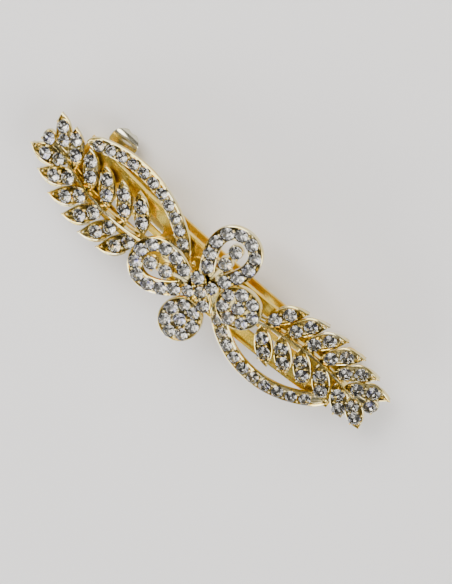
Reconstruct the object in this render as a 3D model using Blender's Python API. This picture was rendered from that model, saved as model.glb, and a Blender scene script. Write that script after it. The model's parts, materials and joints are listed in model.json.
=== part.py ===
"""Rhinestone hair clip: a French barrette under two leaf sprays and a butterfly.

Units are metres, +Z up. The base bar is arched, and the clip is drawn lying on
its fastening, ornament upwards. The origin is the middle of the bar's underside,
+X runs along the clip from the catch to the hinge, and +Y is across it.
"""

import math

import bmesh
import bpy
from mathutils import Matrix, Vector

MM = 0.001

# ---- driving dimensions ------------------------------------------------------

TOUCH_GAP = 0.1 * MM  # left between pieces that rest on each other
FIT_GAP = 0.05 * MM  # clearance at the rivet, the knuckles and the catch hook
MERGE_DISTANCE = 0.002 * MM
SMOOTH_ANGLE = math.radians(35)

# base bar
ARCH_RADIUS = 140 * MM
BAR_HALF_LENGTH = 35 * MM
BAR_HALF_WIDTH = 5.3 * MM
BAR_THICKNESS = 0.7 * MM
RIM_HEIGHT = 1.2 * MM  # turned-up edge, above the underside
RIM_WALL = 0.6 * MM
MIDDLE_FLAT = 2 * MM  # half-length of the flat middle of the arch
SLOT_NEAR, SLOT_FAR = 12 * MM, 25.5 * MM
SLOT_HALF_WIDTH = 2.4 * MM

# hinge
PIN_X, PIN_Z = 32 * MM, -8.3 * MM
PIN_RADIUS = 0.8 * MM
PIN_HOLE_RADIUS = 0.95 * MM
PIN_HEAD_RADIUS = 1.25 * MM
PIN_HEAD_THICKNESS = 0.4 * MM
EAR_REACH = 1.7 * MM  # metal below the pin's axis
EAR_NEAR, EAR_FAR = 29.8 * MM, 34.2 * MM
EAR_FOLD_REACH = 2 * MM  # how far the ear's root runs along the rim, inward of the ear
EAR_IN_RIM = 0.3 * MM  # how far the ear's root stands up into the rim
EAR_FOOT_HALF_LENGTH = 1.0 * MM
EAR_NEAR_CORNER, EAR_FAR_CORNER = 0.6 * MM, 0.9 * MM  # below the pin's axis, where the foot starts to narrow
EAR_INSET = 0.02 * MM  # each face of an ear, inside the faces of the rim
PIN_IN_HEAD = 0.1 * MM  # how far the shank runs into each head
KNUCKLE_RADIUS = 1.5 * MM
ROUND_SIDES = 16

# swing arm
ARM_RADIUS = 300 * MM
ARM_TOP = -6.4 * MM  # at the middle of the clip
ARM_THICKNESS = 0.7 * MM
ARM_HALF_WIDTH = 3.7 * MM
ARM_SLOT_HALF_WIDTH = 2.0 * MM
ARM_SLOT_START, ARM_SLOT_END = -24 * MM, 28 * MM
ARM_END_X = PIN_X - 1.1 * MM  # where the strip runs into the knuckles
ARM_NOSE_X = -33.4 * MM
NOSE_DROP = 1.1 * MM  # lip turned down at the nose
NOSE_HALF_LENGTH, NOSE_SIDE_SETBACK, NOSE_TOP_SETBACK = 0.35 * MM, 0.4 * MM, 0.1 * MM
ARM_CUT_LOW, ARM_CUT_HIGH = -12 * MM, -4 * MM  # heights that the arm's openings are cut between
LOOP_HALF_WIDTH = 2.5 * MM
LOOP_START, LOOP_END = -31.9 * MM, -27.3 * MM
KNUCKLE_INNER, KNUCKLE_OUTER = 2.1 * MM, 4.4 * MM  # each knuckle, measured from the middle

CUT_PAST = 3 * MM  # how far cutting shapes reach past the metal
SLOT_JOIN = 1 * MM  # overlap of the opening between the knuckles with the arm's slot

# tension spring
SPRING_THICKNESS = 0.4 * MM
SPRING_HALF_WIDTH = 1.6 * MM
SPRING_TIP_X = -22 * MM
SPRING_TIP_GAP = 0.15 * MM  # between the tip and the arm it presses on
SPRING_STEPS = 14
SPRING_CROWN = 2.05 * MM  # bow above the straight line between its ends
SPRING_CURL_RADIUS = 1.35 * MM

# catch
CATCH_X = -29.6 * MM
CATCH_PLATE_HALF_LENGTH = 3.3 * MM
CATCH_PLATE_HALF_WIDTH = 2.3 * MM
CATCH_THICKNESS = 0.45 * MM
CATCH_LEG_Y = 1.5 * MM  # inner face of each leg
CATCH_LEG_HALF_LENGTH = 1.8 * MM
CATCH_LEG_BOTTOM = -9.3 * MM
CATCH_HOOK_REACH = 0.3 * MM
CATCH_HOOK_HEIGHT = 0.4 * MM
CATCH_HOOK_SETBACK, CATCH_HOOK_IN_LEG = 0.3 * MM, 0.1 * MM
TAB_BELOW_FOLD = 1.3 * MM
TAB_HALF_WIDTH = 3.0 * MM
# the finger tab's line across the clip, in mm: out from the middle, up, and its share of the full width
TAB_LINE = [(1.75, -0.1, 0.55), (3.4, -0.5, 0.62), (4.8, -0.85, 0.85), (6.2, -0.8, 1.0)]
TAB_LINE += [(7.6, -0.35, 0.95), (8.7, -0.4, 0.7), (9.5, -1.2, 0.3)]
RIVET_RADIUS = 0.7 * MM
RIVET_HOLE_RADIUS = 0.85 * MM
RIVET_HEAD_RADIUS = 1.15 * MM
RIVET_HEAD_THICKNESS = 0.35 * MM

# castings: heights above the bar's underside
BRANCH_BOTTOM, BRANCH_TOP = 1.7 * MM, 3.0 * MM
STEM_TOP = 3.5 * MM
FLY_BOTTOM, FLY_TOP = 4.5 * MM, 5.6 * MM
POST_RADIUS = 1.5 * MM
PAD_CENTRE = Vector((8 * MM, -0.9 * MM))
PAD_RADIUS = 3.1 * MM
PAD_TOP = 2.7 * MM
SKEW = 0.05 * MM  # keeps faces of joined shapes off one plane

# stones
CUP_SIDES = 12
STONE_RADIUS = 1.2 * MM
STONE_SIDES = 8
STONE_BOTTOM_RADIUS = 0.6 * MM
STONE_TABLE_RADIUS = 0.7 * MM
PAVILION_HEIGHT = 0.5 * MM
CROWN_HEIGHT = 0.5 * MM
SEAT_HALF_WIDTH = 1.5 * MM  # half-width of a band or cup that holds one row of stones

# right leaf spray, measured in plan; the left one is the same turned half round, but for its swoosh
STEM_CREST = Vector((24 * MM, 3.1 * MM))
STEM_BEND = 12.5  # fall of the stem from its crest, per metre squared
STEM_START, STEM_END = 8 * MM, 37.6 * MM
STEM_HALF_WIDTH = 0.75 * MM
STEM_STEPS, SWOOSH_STEPS = 15, 22
# for each row of leaves: how many, the foot of the first along X, the pitch and how the pitch changes,
# the first leaf's angle, and its length and how that changes
UPPER_LEAVES = (6, 14.6 * MM, 4.65 * MM, -0.12 * MM, 60, 9.3 * MM, -0.06 * MM)
LOWER_LEAVES = (5, 14.0 * MM, 4.2 * MM, 0.13 * MM, -47.5, 9.2 * MM, -0.25 * MM)
UPPER_LEAF_TURN, LOWER_LEAF_TURN = -1.4, -1.0  # degrees, by the leaf's number squared and by its number
LOWER_LEAF_SETBACK = 0.5 * MM  # from the stem's middle to the foot of each lower leaf
END_LEAF_SETBACK = 0.8 * MM
END_LEAF_ANGLE = math.radians(-45)
END_LEAF_LENGTH = 8.0 * MM
LEAF_HALF_WIDTH = 1.78 * MM
END_CUP = Vector((41.4 * MM, 1.2 * MM))  # the one stone past the stem's end
LEAF_FULLNESS = 2.4
RIGHT_SWOOSH = [Vector((x * MM, y * MM)) for x, y in ((5.2, -1.2), (10.5, -8.0), (22.5, -13.0), (34.4, -3.0))]
LEFT_SWOOSH = [Vector((x * MM, y * MM)) for x, y in ((5.2, -1.2), (10.5, -7.6), (22.5, -12.8), (35.0, -4.4))]

# butterfly, measured in its own plan: along the head, and across to its right
FLY_CENTRE = Vector((1.3 * MM, -0.3 * MM))
FLY_HEADING = math.radians(139)
UPPER_WING_ANGLE = {1: math.radians(49.5), -1: math.radians(53)}  # right wing, left wing
UPPER_WING_ROOT, UPPER_WING_LENGTH = 2.0 * MM, {1: 13.1 * MM, -1: 12.5 * MM}
UPPER_WING_HALF_WIDTH = 4.25 * MM
TEARDROP_PEAK = 0.77  # greatest value of sin(turn) * sin(turn / 2)
UPPER_RIM_STONES = 10
UPPER_RIM_START = math.radians(58)
UPPER_INNER_STONES = (11.4 * MM, 8.0 * MM)
UPPER_ROOT_STONE = Vector((0.5 * MM, 2.45 * MM))
WING_LOOP_START = math.radians(50)
WING_LOOP_POINTS = 28
ROOT_DISC_REACH, ROOT_DISC_RADIUS = 3.6 * MM, 2.3 * MM
SPINE_START, SPINE_HALF_WIDTH = 3.0 * MM, 0.6 * MM
HUB_RADIUS = 3.6 * MM
BODY_HALF_WIDTH, BODY_PAST_STONES = 1.7 * MM, 1.4 * MM
LOWER_WING_CENTRE = {1: Vector((-4.0 * MM, 7.1 * MM)), -1: Vector((-5.2 * MM, 5.3 * MM))}
LOWER_WING_ANGLE = math.radians(130)
LOWER_WING_REACH, LOWER_WING_SPREAD = 3.3 * MM, 2.9 * MM
LOWER_RIM_STONES = 7
LOWER_RIM_SIDES, HUB_SIDES = 20, 16
BODY_PITCH = 2.95 * MM
BODY_STONES = 3

# colour, roughness and metallic of each plating and of the stones
GOLD = ((0.86, 0.68, 0.38, 1.0), 0.22, 1.0)
PALE_GOLD = ((0.90, 0.78, 0.52, 1.0), 0.3, 1.0)
STEEL_GOLD = ((0.80, 0.64, 0.36, 1.0), 0.25, 1.0)
CRYSTAL = ((0.85, 0.88, 0.92, 1.0), 0.03, 0.4)


# ---- general helpers ---------------------------------------------------------


def clear_scene():
    for old in list(bpy.data.objects):
        bpy.data.objects.remove(old, do_unlink=True)


def material(name, colour, roughness, metallic):
    made = bpy.data.materials.new(name)
    made.use_nodes = True
    shader = made.node_tree.nodes["Principled BSDF"]
    shader.inputs["Base Color"].default_value = colour
    shader.inputs["Roughness"].default_value = roughness
    shader.inputs["Metallic"].default_value = metallic
    return made


def drop(x, radius):
    """How far an arch of this radius has fallen below its middle at x."""
    return radius - math.sqrt(radius * radius - x * x)


def under(x):
    """Height of the bar's underside, whose middle facet lies at zero."""
    return -max(drop(x, ARCH_RADIUS) - drop(MIDDLE_FLAT, ARCH_RADIUS), 0.0)


def arm_top(x):
    return ARM_TOP - drop(x, ARM_RADIUS)


def new_object(name, mesh, look):
    mesh.materials.clear()
    mesh.materials.append(look)
    made = bpy.data.objects.new(name, mesh)
    bpy.context.scene.collection.objects.link(made)
    return made


def mesh_from(points, faces):
    mesh = bpy.data.meshes.new("shape")
    mesh.from_pydata([tuple(p) for p in points], [], faces)
    shape = bmesh.new()
    shape.from_mesh(mesh)
    bmesh.ops.recalc_face_normals(shape, faces=shape.faces)
    shape.to_mesh(mesh)
    shape.free()
    return mesh


def loft(sections, closed=False):
    """A solid through a row of matching cross-sections, with its ends capped unless it closes on itself."""
    size = len(sections[0])
    points = [p for section in sections for p in section]
    rows = len(sections)
    faces = []
    for row in range(rows if closed else rows - 1):
        here, there = row * size, (row + 1) % rows * size
        for k in range(size):
            n = (k + 1) % size
            faces.append((here + k, here + n, there + n, there + k))
    if not closed:
        faces.append(tuple(range(size)))
        faces.append(tuple(range(len(points) - size, len(points))))
    return mesh_from(points, faces)


def prism(outline, low, high):
    """An upright solid over a plan outline."""
    return loft([[Vector((p.x, p.y, z)) for p in outline] for z in (low, high)])


def box(low, high):
    corners = [Vector((x, y)) for x, y in ((low[0], low[1]), (high[0], low[1]), (high[0], high[1]), (low[0], high[1]))]
    return prism(corners, low[2], high[2])


def circle(radius, sides=ROUND_SIDES, centre=Vector((0, 0))):
    turns = [(k + 0.5) * math.tau / sides for k in range(sides)]
    return [centre + radius * Vector((math.cos(t), math.sin(t))) for t in turns]


def rod_across(radius, x, z, y_low, y_high):
    """A round bar along Y."""
    ring = circle(radius)
    return loft([[Vector((x + p.x, y, z + p.y)) for p in ring] for y in (y_low, y_high)])


def band(path, half_width, low, high, closed=False):
    """A flat strip of even width that follows a plan path."""
    count = len(path)
    sections = []
    for k, point in enumerate(path):
        before = path[(k - 1) % count] if closed or k > 0 else point
        after = path[(k + 1) % count] if closed or k < count - 1 else point
        along = (after - before).normalized()
        side = Vector((-along.y, along.x)) * half_width
        left, right = point + side, point - side
        sections.append([Vector((*left, low)), Vector((*right, low)), Vector((*right, high)), Vector((*left, high))])
    return loft(sections, closed)


def combine(meshes, operation):
    """The first mesh with each of the others added to it or cut from it."""
    base = bpy.data.objects.new("base", meshes[0])
    bpy.context.scene.collection.objects.link(base)
    for other in meshes[1:]:
        tool = bpy.data.objects.new("tool", other)
        bpy.context.scene.collection.objects.link(tool)
        step = base.modifiers.new("step", "BOOLEAN")
        step.solver = "EXACT"
        step.operation = operation
        step.object = tool
        done = bpy.data.meshes.new_from_object(base.evaluated_get(bpy.context.evaluated_depsgraph_get()))
        base.modifiers.clear()
        base.data = done
        bpy.data.objects.remove(tool)
    result = base.data
    bpy.data.objects.remove(base)
    return result


def fuse(meshes):
    return combine(meshes, "UNION")


def cut(mesh, tools):
    return combine([mesh] + tools, "DIFFERENCE")


def tidy(mesh, shift=None):
    """Triangles with no doubled points, moved by shift(point) where one is given."""
    shape = bmesh.new()
    shape.from_mesh(mesh)
    bmesh.ops.remove_doubles(shape, verts=shape.verts, dist=MERGE_DISTANCE)
    bmesh.ops.triangulate(shape, faces=shape.faces)
    if shift:
        for point in shape.verts:
            point.co = shift(point.co)
    shape.to_mesh(mesh)
    shape.free()
    return mesh


def onto_arch(point):
    return Vector((point.x, point.y, point.z + under(point.x)))


def turned(mesh, angle):
    """A copy of a mesh turned about +Z."""
    copy = mesh.copy()
    copy.transform(Matrix.Rotation(angle, 4, "Z"))
    return copy


def set_origin(made, point):
    """Put an object's origin on a point without moving its shape."""
    made.data.transform(Matrix.Translation(-Vector(point)))
    made.location = point


def smooth(made):
    made.data.shade_smooth()
    made.data.set_sharp_from_angle(angle=SMOOTH_ANGLE)


# ---- fastening ---------------------------------------------------------------


def arch_stations(near, far):
    """Places along X for an arched sweep, with a flat facet at the middle."""
    even = [-33, -30, -27.5, -24, -20, -16, -12, -9, -6, -2, 2, 6, 9, 12, 16, 20, 24, 27.5, 30, 33]
    inside = [x * MM for x in even if near + MM < x * MM < far - MM]
    return [near] + inside + [far]


def base_bar(look):
    """Stamped bar with turned-up rims, two slots, and two ears folded down for the hinge pin."""
    inner = BAR_HALF_WIDTH - RIM_WALL
    sections = []
    for x in arch_stations(-BAR_HALF_LENGTH, BAR_HALF_LENGTH):
        profile = [(-BAR_HALF_WIDTH, 0), (BAR_HALF_WIDTH, 0), (BAR_HALF_WIDTH, RIM_HEIGHT), (inner, RIM_HEIGHT)]
        profile += [(inner, BAR_THICKNESS), (-inner, BAR_THICKNESS)]
        profile += [(-inner, RIM_HEIGHT), (-BAR_HALF_WIDTH, RIM_HEIGHT)]
        sections.append([Vector((x, y, z + under(x))) for y, z in profile])
    bar = loft(sections)
    ears = []
    for side in (-1, 1):
        root_x = EAR_NEAR - EAR_FOLD_REACH
        corners = [(root_x, under(root_x) + EAR_IN_RIM), (EAR_FAR, under(EAR_FAR) + EAR_IN_RIM)]
        corners += [(EAR_FAR, PIN_Z - EAR_FAR_CORNER), (PIN_X + EAR_FOOT_HALF_LENGTH, PIN_Z - EAR_REACH)]
        corners += [(PIN_X - EAR_FOOT_HALF_LENGTH, PIN_Z - EAR_REACH), (EAR_NEAR, PIN_Z - EAR_NEAR_CORNER)]
        faces = sorted((side * (BAR_HALF_WIDTH - EAR_INSET), side * (inner + EAR_INSET)))
        ears.append(loft([[Vector((x, y, z)) for x, z in corners] for y in faces]))
    low, high = under(SLOT_FAR) - CUT_PAST, RIM_HEIGHT + CUT_PAST
    slots = [
        box((SLOT_NEAR, -SLOT_HALF_WIDTH, low), (SLOT_FAR, SLOT_HALF_WIDTH, high)),
        box((-SLOT_FAR, -SLOT_HALF_WIDTH, low), (-SLOT_NEAR, SLOT_HALF_WIDTH, high)),
    ]
    made = new_object("base_bar", tidy(cut(fuse([bar] + ears), slots + [pin_bore(), rivet_bore()])), look)
    smooth(made)


def pin_bore():
    half = BAR_HALF_WIDTH + CUT_PAST
    return rod_across(PIN_HOLE_RADIUS, PIN_X, PIN_Z, -half, half)


def rivet_bore():
    bore = prism(circle(RIVET_HOLE_RADIUS), -CUT_PAST, CUT_PAST)
    bore.transform(rivet_place())
    return bore


def rivet_place():
    """The catch rivet stands square to the bar where it passes through."""
    lean = math.asin(CATCH_X / ARCH_RADIUS)
    return Matrix.Translation((CATCH_X, 0, under(CATCH_X))) @ Matrix.Rotation(lean, 4, "Y")


def catch_rivet(look):
    below = -(CATCH_THICKNESS + 2 * TOUCH_GAP + FIT_GAP)
    above = BAR_THICKNESS + TOUCH_GAP + FIT_GAP
    shank = prism(circle(RIVET_RADIUS), below - FIT_GAP, above + FIT_GAP)
    foot = prism(circle(RIVET_HEAD_RADIUS), below - RIVET_HEAD_THICKNESS, below)
    head = prism(circle(RIVET_HEAD_RADIUS), above, above + RIVET_HEAD_THICKNESS)
    mesh = tidy(fuse([shank, foot, head]))
    mesh.transform(rivet_place())
    smooth(new_object("catch_rivet", mesh, look))


def hinge_pin(look):
    half = BAR_HALF_WIDTH + TOUCH_GAP
    shank = rod_across(PIN_RADIUS, PIN_X, PIN_Z, -half - PIN_IN_HEAD, half + PIN_IN_HEAD)
    heads = [
        rod_across(PIN_HEAD_RADIUS, PIN_X, PIN_Z, half, half + PIN_HEAD_THICKNESS),
        rod_across(PIN_HEAD_RADIUS, PIN_X, PIN_Z, -half - PIN_HEAD_THICKNESS, -half),
    ]
    made = new_object("hinge_pin", tidy(fuse([shank] + heads)), look)
    set_origin(made, (PIN_X, 0, PIN_Z))
    smooth(made)


def swing_arm(look):
    """Slotted arm with two knuckles at the pin, a loop for the catch and a nose turned down."""
    sections = []
    for x in arch_stations(ARM_NOSE_X, ARM_END_X):
        top = arm_top(x)
        profile = [(-ARM_HALF_WIDTH, top - ARM_THICKNESS), (ARM_HALF_WIDTH, top - ARM_THICKNESS)]
        profile += [(ARM_HALF_WIDTH, top), (-ARM_HALF_WIDTH, top)]
        sections.append([Vector((x, y, z)) for y, z in profile])
    strip = loft(sections)
    nose_top = arm_top(ARM_NOSE_X)
    nose = box(
        (ARM_NOSE_X - NOSE_HALF_LENGTH, -ARM_HALF_WIDTH + NOSE_SIDE_SETBACK, nose_top - ARM_THICKNESS - NOSE_DROP),
        (ARM_NOSE_X + NOSE_HALF_LENGTH, ARM_HALF_WIDTH - NOSE_SIDE_SETBACK, nose_top - NOSE_TOP_SETBACK),
    )
    knuckles = [
        rod_across(KNUCKLE_RADIUS, PIN_X, PIN_Z, KNUCKLE_INNER, KNUCKLE_OUTER),
        rod_across(KNUCKLE_RADIUS, PIN_X, PIN_Z, -KNUCKLE_OUTER, -KNUCKLE_INNER),
    ]
    low, high = ARM_CUT_LOW, ARM_CUT_HIGH
    between = KNUCKLE_INNER - FIT_GAP
    openings = [
        box((ARM_SLOT_START, -ARM_SLOT_HALF_WIDTH, low), (ARM_SLOT_END, ARM_SLOT_HALF_WIDTH, high)),
        box((LOOP_START, -LOOP_HALF_WIDTH, low), (LOOP_END, LOOP_HALF_WIDTH, high)),
        box((ARM_SLOT_END - SLOT_JOIN, -between, low), (ARM_END_X + SLOT_JOIN, between, high)),
        pin_bore(),
    ]
    made = new_object("swing_arm", tidy(cut(fuse([strip, nose] + knuckles), openings)), look)
    set_origin(made, (PIN_X, 0, PIN_Z))
    smooth(made)


def spring_line(x):
    """Height of the tension spring's underside: a straight line between its ends with a bow on it."""
    start = arm_top(SPRING_TIP_X) + SPRING_TIP_GAP
    finish = PIN_Z + SPRING_CURL_RADIUS - SPRING_THICKNESS
    share = (x - SPRING_TIP_X) / (PIN_X - SPRING_TIP_X)
    return start + (finish - start) * share + SPRING_CROWN * 4 * share * (1 - share)


def tension_spring(look):
    """Bowed strip of spring steel, curled round the middle of the hinge pin."""
    reach = PIN_X - SPRING_TIP_X
    sections = []
    for k in range(SPRING_STEPS + 1):
        x = SPRING_TIP_X + reach * k / SPRING_STEPS
        low = spring_line(x)
        profile = [(-SPRING_HALF_WIDTH, low), (SPRING_HALF_WIDTH, low)]
        profile += [(SPRING_HALF_WIDTH, low + SPRING_THICKNESS), (-SPRING_HALF_WIDTH, low + SPRING_THICKNESS)]
        sections.append([Vector((x, y, z)) for y, z in profile])
    strip = loft(sections)
    curl = rod_across(SPRING_CURL_RADIUS, PIN_X, PIN_Z, -SPRING_HALF_WIDTH, SPRING_HALF_WIDTH)
    made = new_object("tension_spring", tidy(cut(fuse([strip, curl]), [pin_bore()])), look)
    set_origin(made, (PIN_X, 0, PIN_Z))
    smooth(made)


def catch_base(look):
    """Spring-steel plate riveted under the bar's end."""
    near, far = CATCH_X - CATCH_PLATE_HALF_LENGTH, CATCH_X + CATCH_PLATE_HALF_LENGTH
    sections = []
    for x in arch_stations(near, far):
        top = under(x) - TOUCH_GAP
        half = CATCH_PLATE_HALF_WIDTH
        profile = [(-half, top - CATCH_THICKNESS), (half, top - CATCH_THICKNESS), (half, top), (-half, top)]
        sections.append([Vector((x, y, z)) for y, z in profile])
    made = new_object("catch_base", tidy(cut(loft(sections), [rivet_bore()])), look)
    smooth(made)


def catch_ear(side, name, look):
    """One side of the catch: a leg through the arm's loop, with a hook at its foot, and a finger tab."""
    start_x, end_x = CATCH_X - CATCH_LEG_HALF_LENGTH, CATCH_X + CATCH_LEG_HALF_LENGTH
    fold_z = under(start_x) - 2 * TOUCH_GAP - CATCH_THICKNESS
    outer = CATCH_LEG_Y + CATCH_THICKNESS
    leg = box((start_x, CATCH_LEG_Y, CATCH_LEG_BOTTOM), (end_x, outer, fold_z))
    hook = box(
        (start_x + CATCH_HOOK_SETBACK, outer - CATCH_HOOK_IN_LEG, CATCH_LEG_BOTTOM + FIT_GAP),
        (end_x - CATCH_HOOK_SETBACK, outer + CATCH_HOOK_REACH, CATCH_LEG_BOTTOM + FIT_GAP + CATCH_HOOK_HEIGHT),
    )
    sections = []
    for k, (y, z, share) in enumerate(TAB_LINE):
        before, after = TAB_LINE[max(k - 1, 0)], TAB_LINE[min(k + 1, len(TAB_LINE) - 1)]
        along = Vector((after[0] - before[0], after[1] - before[1])).normalized()
        across = Vector((-along.y, along.x)) * CATCH_THICKNESS / 2
        half = TAB_HALF_WIDTH * share
        y, height = y * MM, z * MM + fold_z - TAB_BELOW_FOLD
        sections.append(
            [
                Vector((CATCH_X - half, y - across.x, height - across.y)),
                Vector((CATCH_X + half, y - across.x, height - across.y)),
                Vector((CATCH_X + half, y + across.x, height + across.y)),
                Vector((CATCH_X - half, y + across.x, height + across.y)),
            ]
        )
    mesh = tidy(fuse([leg, hook, loft(sections)]))
    if side < 0:
        mesh.transform(Matrix.Scale(-1, 4, (0, 1, 0)))
        mesh.flip_normals()
    made = new_object(name, mesh, look)
    set_origin(made, (CATCH_X, side * (CATCH_LEG_Y + CATCH_THICKNESS / 2), fold_z))
    smooth(made)


# ---- castings ----------------------------------------------------------------


def direction(angle):
    return Vector((math.cos(angle), math.sin(angle)))


def stem_point(x):
    return Vector((x, STEM_CREST.y - STEM_BEND * (x - STEM_CREST.x) ** 2))


def bezier(points, share):
    a, b, c, d = points
    rest = 1 - share
    return a * rest**3 + b * 3 * rest**2 * share + c * 3 * rest * share**2 + d * share**3


def leaf_outline(base, angle, length):
    """A navette: widest in the middle, pointed at both ends."""
    along = direction(angle)
    side = Vector((-along.y, along.x))
    shares = [0.0, 0.12, 0.28, 0.46, 0.64, 0.8, 0.91, 1.0]
    widths = [LEAF_HALF_WIDTH * (1 - abs(2 * s - 1) ** LEAF_FULLNESS) for s in shares]
    left = [base + along * length * s + side * w for s, w in zip(shares, widths)]
    right = [base + along * length * s - side * w for s, w in zip(shares, widths)]
    return left + right[-2:0:-1]


def leaf_places():
    """Foot, direction and length of every leaf on the right spray."""
    places = []
    count, start, pitch, change, first, length, growth = UPPER_LEAVES
    for k in range(count):
        angle = math.radians(first + UPPER_LEAF_TURN * k * k)
        places.append((stem_point(start + pitch * k + change * k * k), angle, length + growth * k))
    count, start, pitch, change, first, length, growth = LOWER_LEAVES
    for k in range(count):
        angle = math.radians(first + LOWER_LEAF_TURN * k)
        foot = stem_point(start + pitch * k + change * k * k) + LOWER_LEAF_SETBACK * direction(angle)
        places.append((foot, angle, length + growth * k))
    places.append((stem_point(STEM_END - END_LEAF_SETBACK), END_LEAF_ANGLE, END_LEAF_LENGTH))
    return places


def branch_mesh(swoosh_line):
    """One spray casting: stem, leaves, the swoosh beside them and the pad over the bar."""
    length = STEM_END - STEM_START
    stem_line = [stem_point(STEM_START + length * k / STEM_STEPS) for k in range(STEM_STEPS + 1)]
    parts = [band(stem_line, STEM_HALF_WIDTH, BRANCH_BOTTOM - SKEW, STEM_TOP)]
    for foot, angle, leaf_length in leaf_places():
        parts.append(prism(leaf_outline(foot, angle, leaf_length), BRANCH_BOTTOM, BRANCH_TOP))
    parts.append(band([stem_line[-1], END_CUP], STEM_HALF_WIDTH, BRANCH_BOTTOM + 2 * SKEW, BRANCH_TOP - 2 * SKEW))
    parts.append(prism(circle(SEAT_HALF_WIDTH, CUP_SIDES, END_CUP), BRANCH_BOTTOM + SKEW / 2, BRANCH_TOP - SKEW / 2))
    swoosh = [bezier(swoosh_line, k / SWOOSH_STEPS) for k in range(SWOOSH_STEPS + 1)]
    parts.append(band(swoosh, SEAT_HALF_WIDTH, BRANCH_BOTTOM + SKEW, BRANCH_TOP + SKEW))
    pad = circle(PAD_RADIUS, CUP_SIDES, PAD_CENTRE)
    parts.append(prism(pad, BRANCH_BOTTOM - SKEW / 2, PAD_TOP))
    return tidy(fuse(parts), onto_arch)


def branches(look):
    right = branch_mesh(RIGHT_SWOOSH)
    left = turned(branch_mesh(LEFT_SWOOSH), math.pi)
    for name, mesh in (("right_branch", right), ("left_branch", left)):
        smooth(new_object(name, mesh, look))


def post(name, centre, top, look):
    low = BAR_THICKNESS + TOUCH_GAP
    mesh = prism(circle(POST_RADIUS, CUP_SIDES, centre), low, top - TOUCH_GAP)
    smooth(new_object(name, tidy(mesh, onto_arch), look))


def fly_to_world(along, across):
    """From the butterfly's own plan to the clip's plan."""
    head = direction(FLY_HEADING)
    right = Vector((head.y, -head.x))
    return FLY_CENTRE + head * along + right * across


def upper_wing_point(turn, side):
    """A point of the upper wing's row of stones, a teardrop with its point at the body."""
    reach = UPPER_WING_ROOT + UPPER_WING_LENGTH[side] * (1 - math.cos(turn)) / 2
    spread = UPPER_WING_HALF_WIDTH * math.sin(turn) * math.sin(turn / 2) / TEARDROP_PEAK
    return wing_to_world(reach, spread, side)


def wing_to_world(reach, spread, side):
    cosine, sine = math.cos(UPPER_WING_ANGLE[side]), math.sin(UPPER_WING_ANGLE[side])
    return fly_to_world(reach * cosine - spread * sine, side * (reach * sine + spread * cosine))


def lower_wing_point(turn, side, grow=0.0):
    reach = (LOWER_WING_REACH + grow) * math.cos(turn)
    spread = (LOWER_WING_SPREAD + grow) * math.sin(turn)
    cosine, sine = math.cos(LOWER_WING_ANGLE), math.sin(LOWER_WING_ANGLE)
    along = LOWER_WING_CENTRE[side].x + reach * cosine - spread * sine
    across = LOWER_WING_CENTRE[side].y + reach * sine + spread * cosine
    return fly_to_world(along, side * across)


def evenly(curve, count, steps=400):
    """Points at equal distances along curve(0..1), both ends included."""
    line = [curve(k / steps) for k in range(steps + 1)]
    lengths = [0.0]
    for a, b in zip(line, line[1:]):
        lengths.append(lengths[-1] + (b - a).length)
    wanted = [lengths[-1] * k / (count - 1) for k in range(count)]
    return [line[min(range(steps + 1), key=lambda k: abs(lengths[k] - w))] for w in wanted]


def butterfly_frame(look):
    """Openwork upper wings, solid lower wings and the body, cast in one piece."""
    parts = []
    for side in (-1, 1):
        low, high = FLY_BOTTOM + side * SKEW / 5, FLY_TOP + side * SKEW / 5
        sweep = math.tau - 2 * WING_LOOP_START
        loop = lambda share: upper_wing_point(WING_LOOP_START + sweep * share, side)
        parts.append(band(evenly(loop, WING_LOOP_POINTS), SEAT_HALF_WIDTH, low, high))
        for reach in UPPER_INNER_STONES:
            seat = circle(SEAT_HALF_WIDTH, CUP_SIDES, wing_to_world(reach, 0, side))
            parts.append(prism(seat, low + SKEW / 2, high - SKEW / 2))
        spine = [wing_to_world(reach, 0, side) for reach in (SPINE_START, UPPER_INNER_STONES[0])]
        parts.append(band(spine, SPINE_HALF_WIDTH, low + SKEW, high - SKEW))
        root = circle(ROOT_DISC_RADIUS, CUP_SIDES, wing_to_world(ROOT_DISC_REACH, 0, side))
        parts.append(prism(root, low + SKEW / 3, high - SKEW / 3))
        turns = [math.tau * k / LOWER_RIM_SIDES for k in range(LOWER_RIM_SIDES)]
        rim = [lower_wing_point(turn, side, SEAT_HALF_WIDTH) for turn in turns]
        parts.append(prism(rim, low - SKEW / 2, high + SKEW / 2))
    reach = BODY_PITCH + BODY_PAST_STONES
    body = [fly_to_world(along, 0) for along in (reach, 0.0, -reach)]
    parts.append(band(body, BODY_HALF_WIDTH, FLY_BOTTOM - SKEW, FLY_TOP + SKEW))
    hub = circle(HUB_RADIUS, HUB_SIDES, fly_to_world(0.0, 0.0))
    parts.append(prism(hub, FLY_BOTTOM - 1.5 * SKEW, FLY_TOP - 1.5 * SKEW))
    smooth(new_object("butterfly_frame", tidy(fuse(parts)), look))


# ---- stones ------------------------------------------------------------------


def stone_mesh():
    """A round foiled stone: flat table, sloping crown, and a cone cut short where its cup holds it."""
    heights = (0.0, PAVILION_HEIGHT, PAVILION_HEIGHT + CROWN_HEIGHT)
    radii = (STONE_BOTTOM_RADIUS, STONE_RADIUS, STONE_TABLE_RADIUS)
    rings = [[Vector((*p, z)) for p in circle(r, STONE_SIDES)] for r, z in zip(radii, heights)]
    return tidy(loft(rings))


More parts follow.
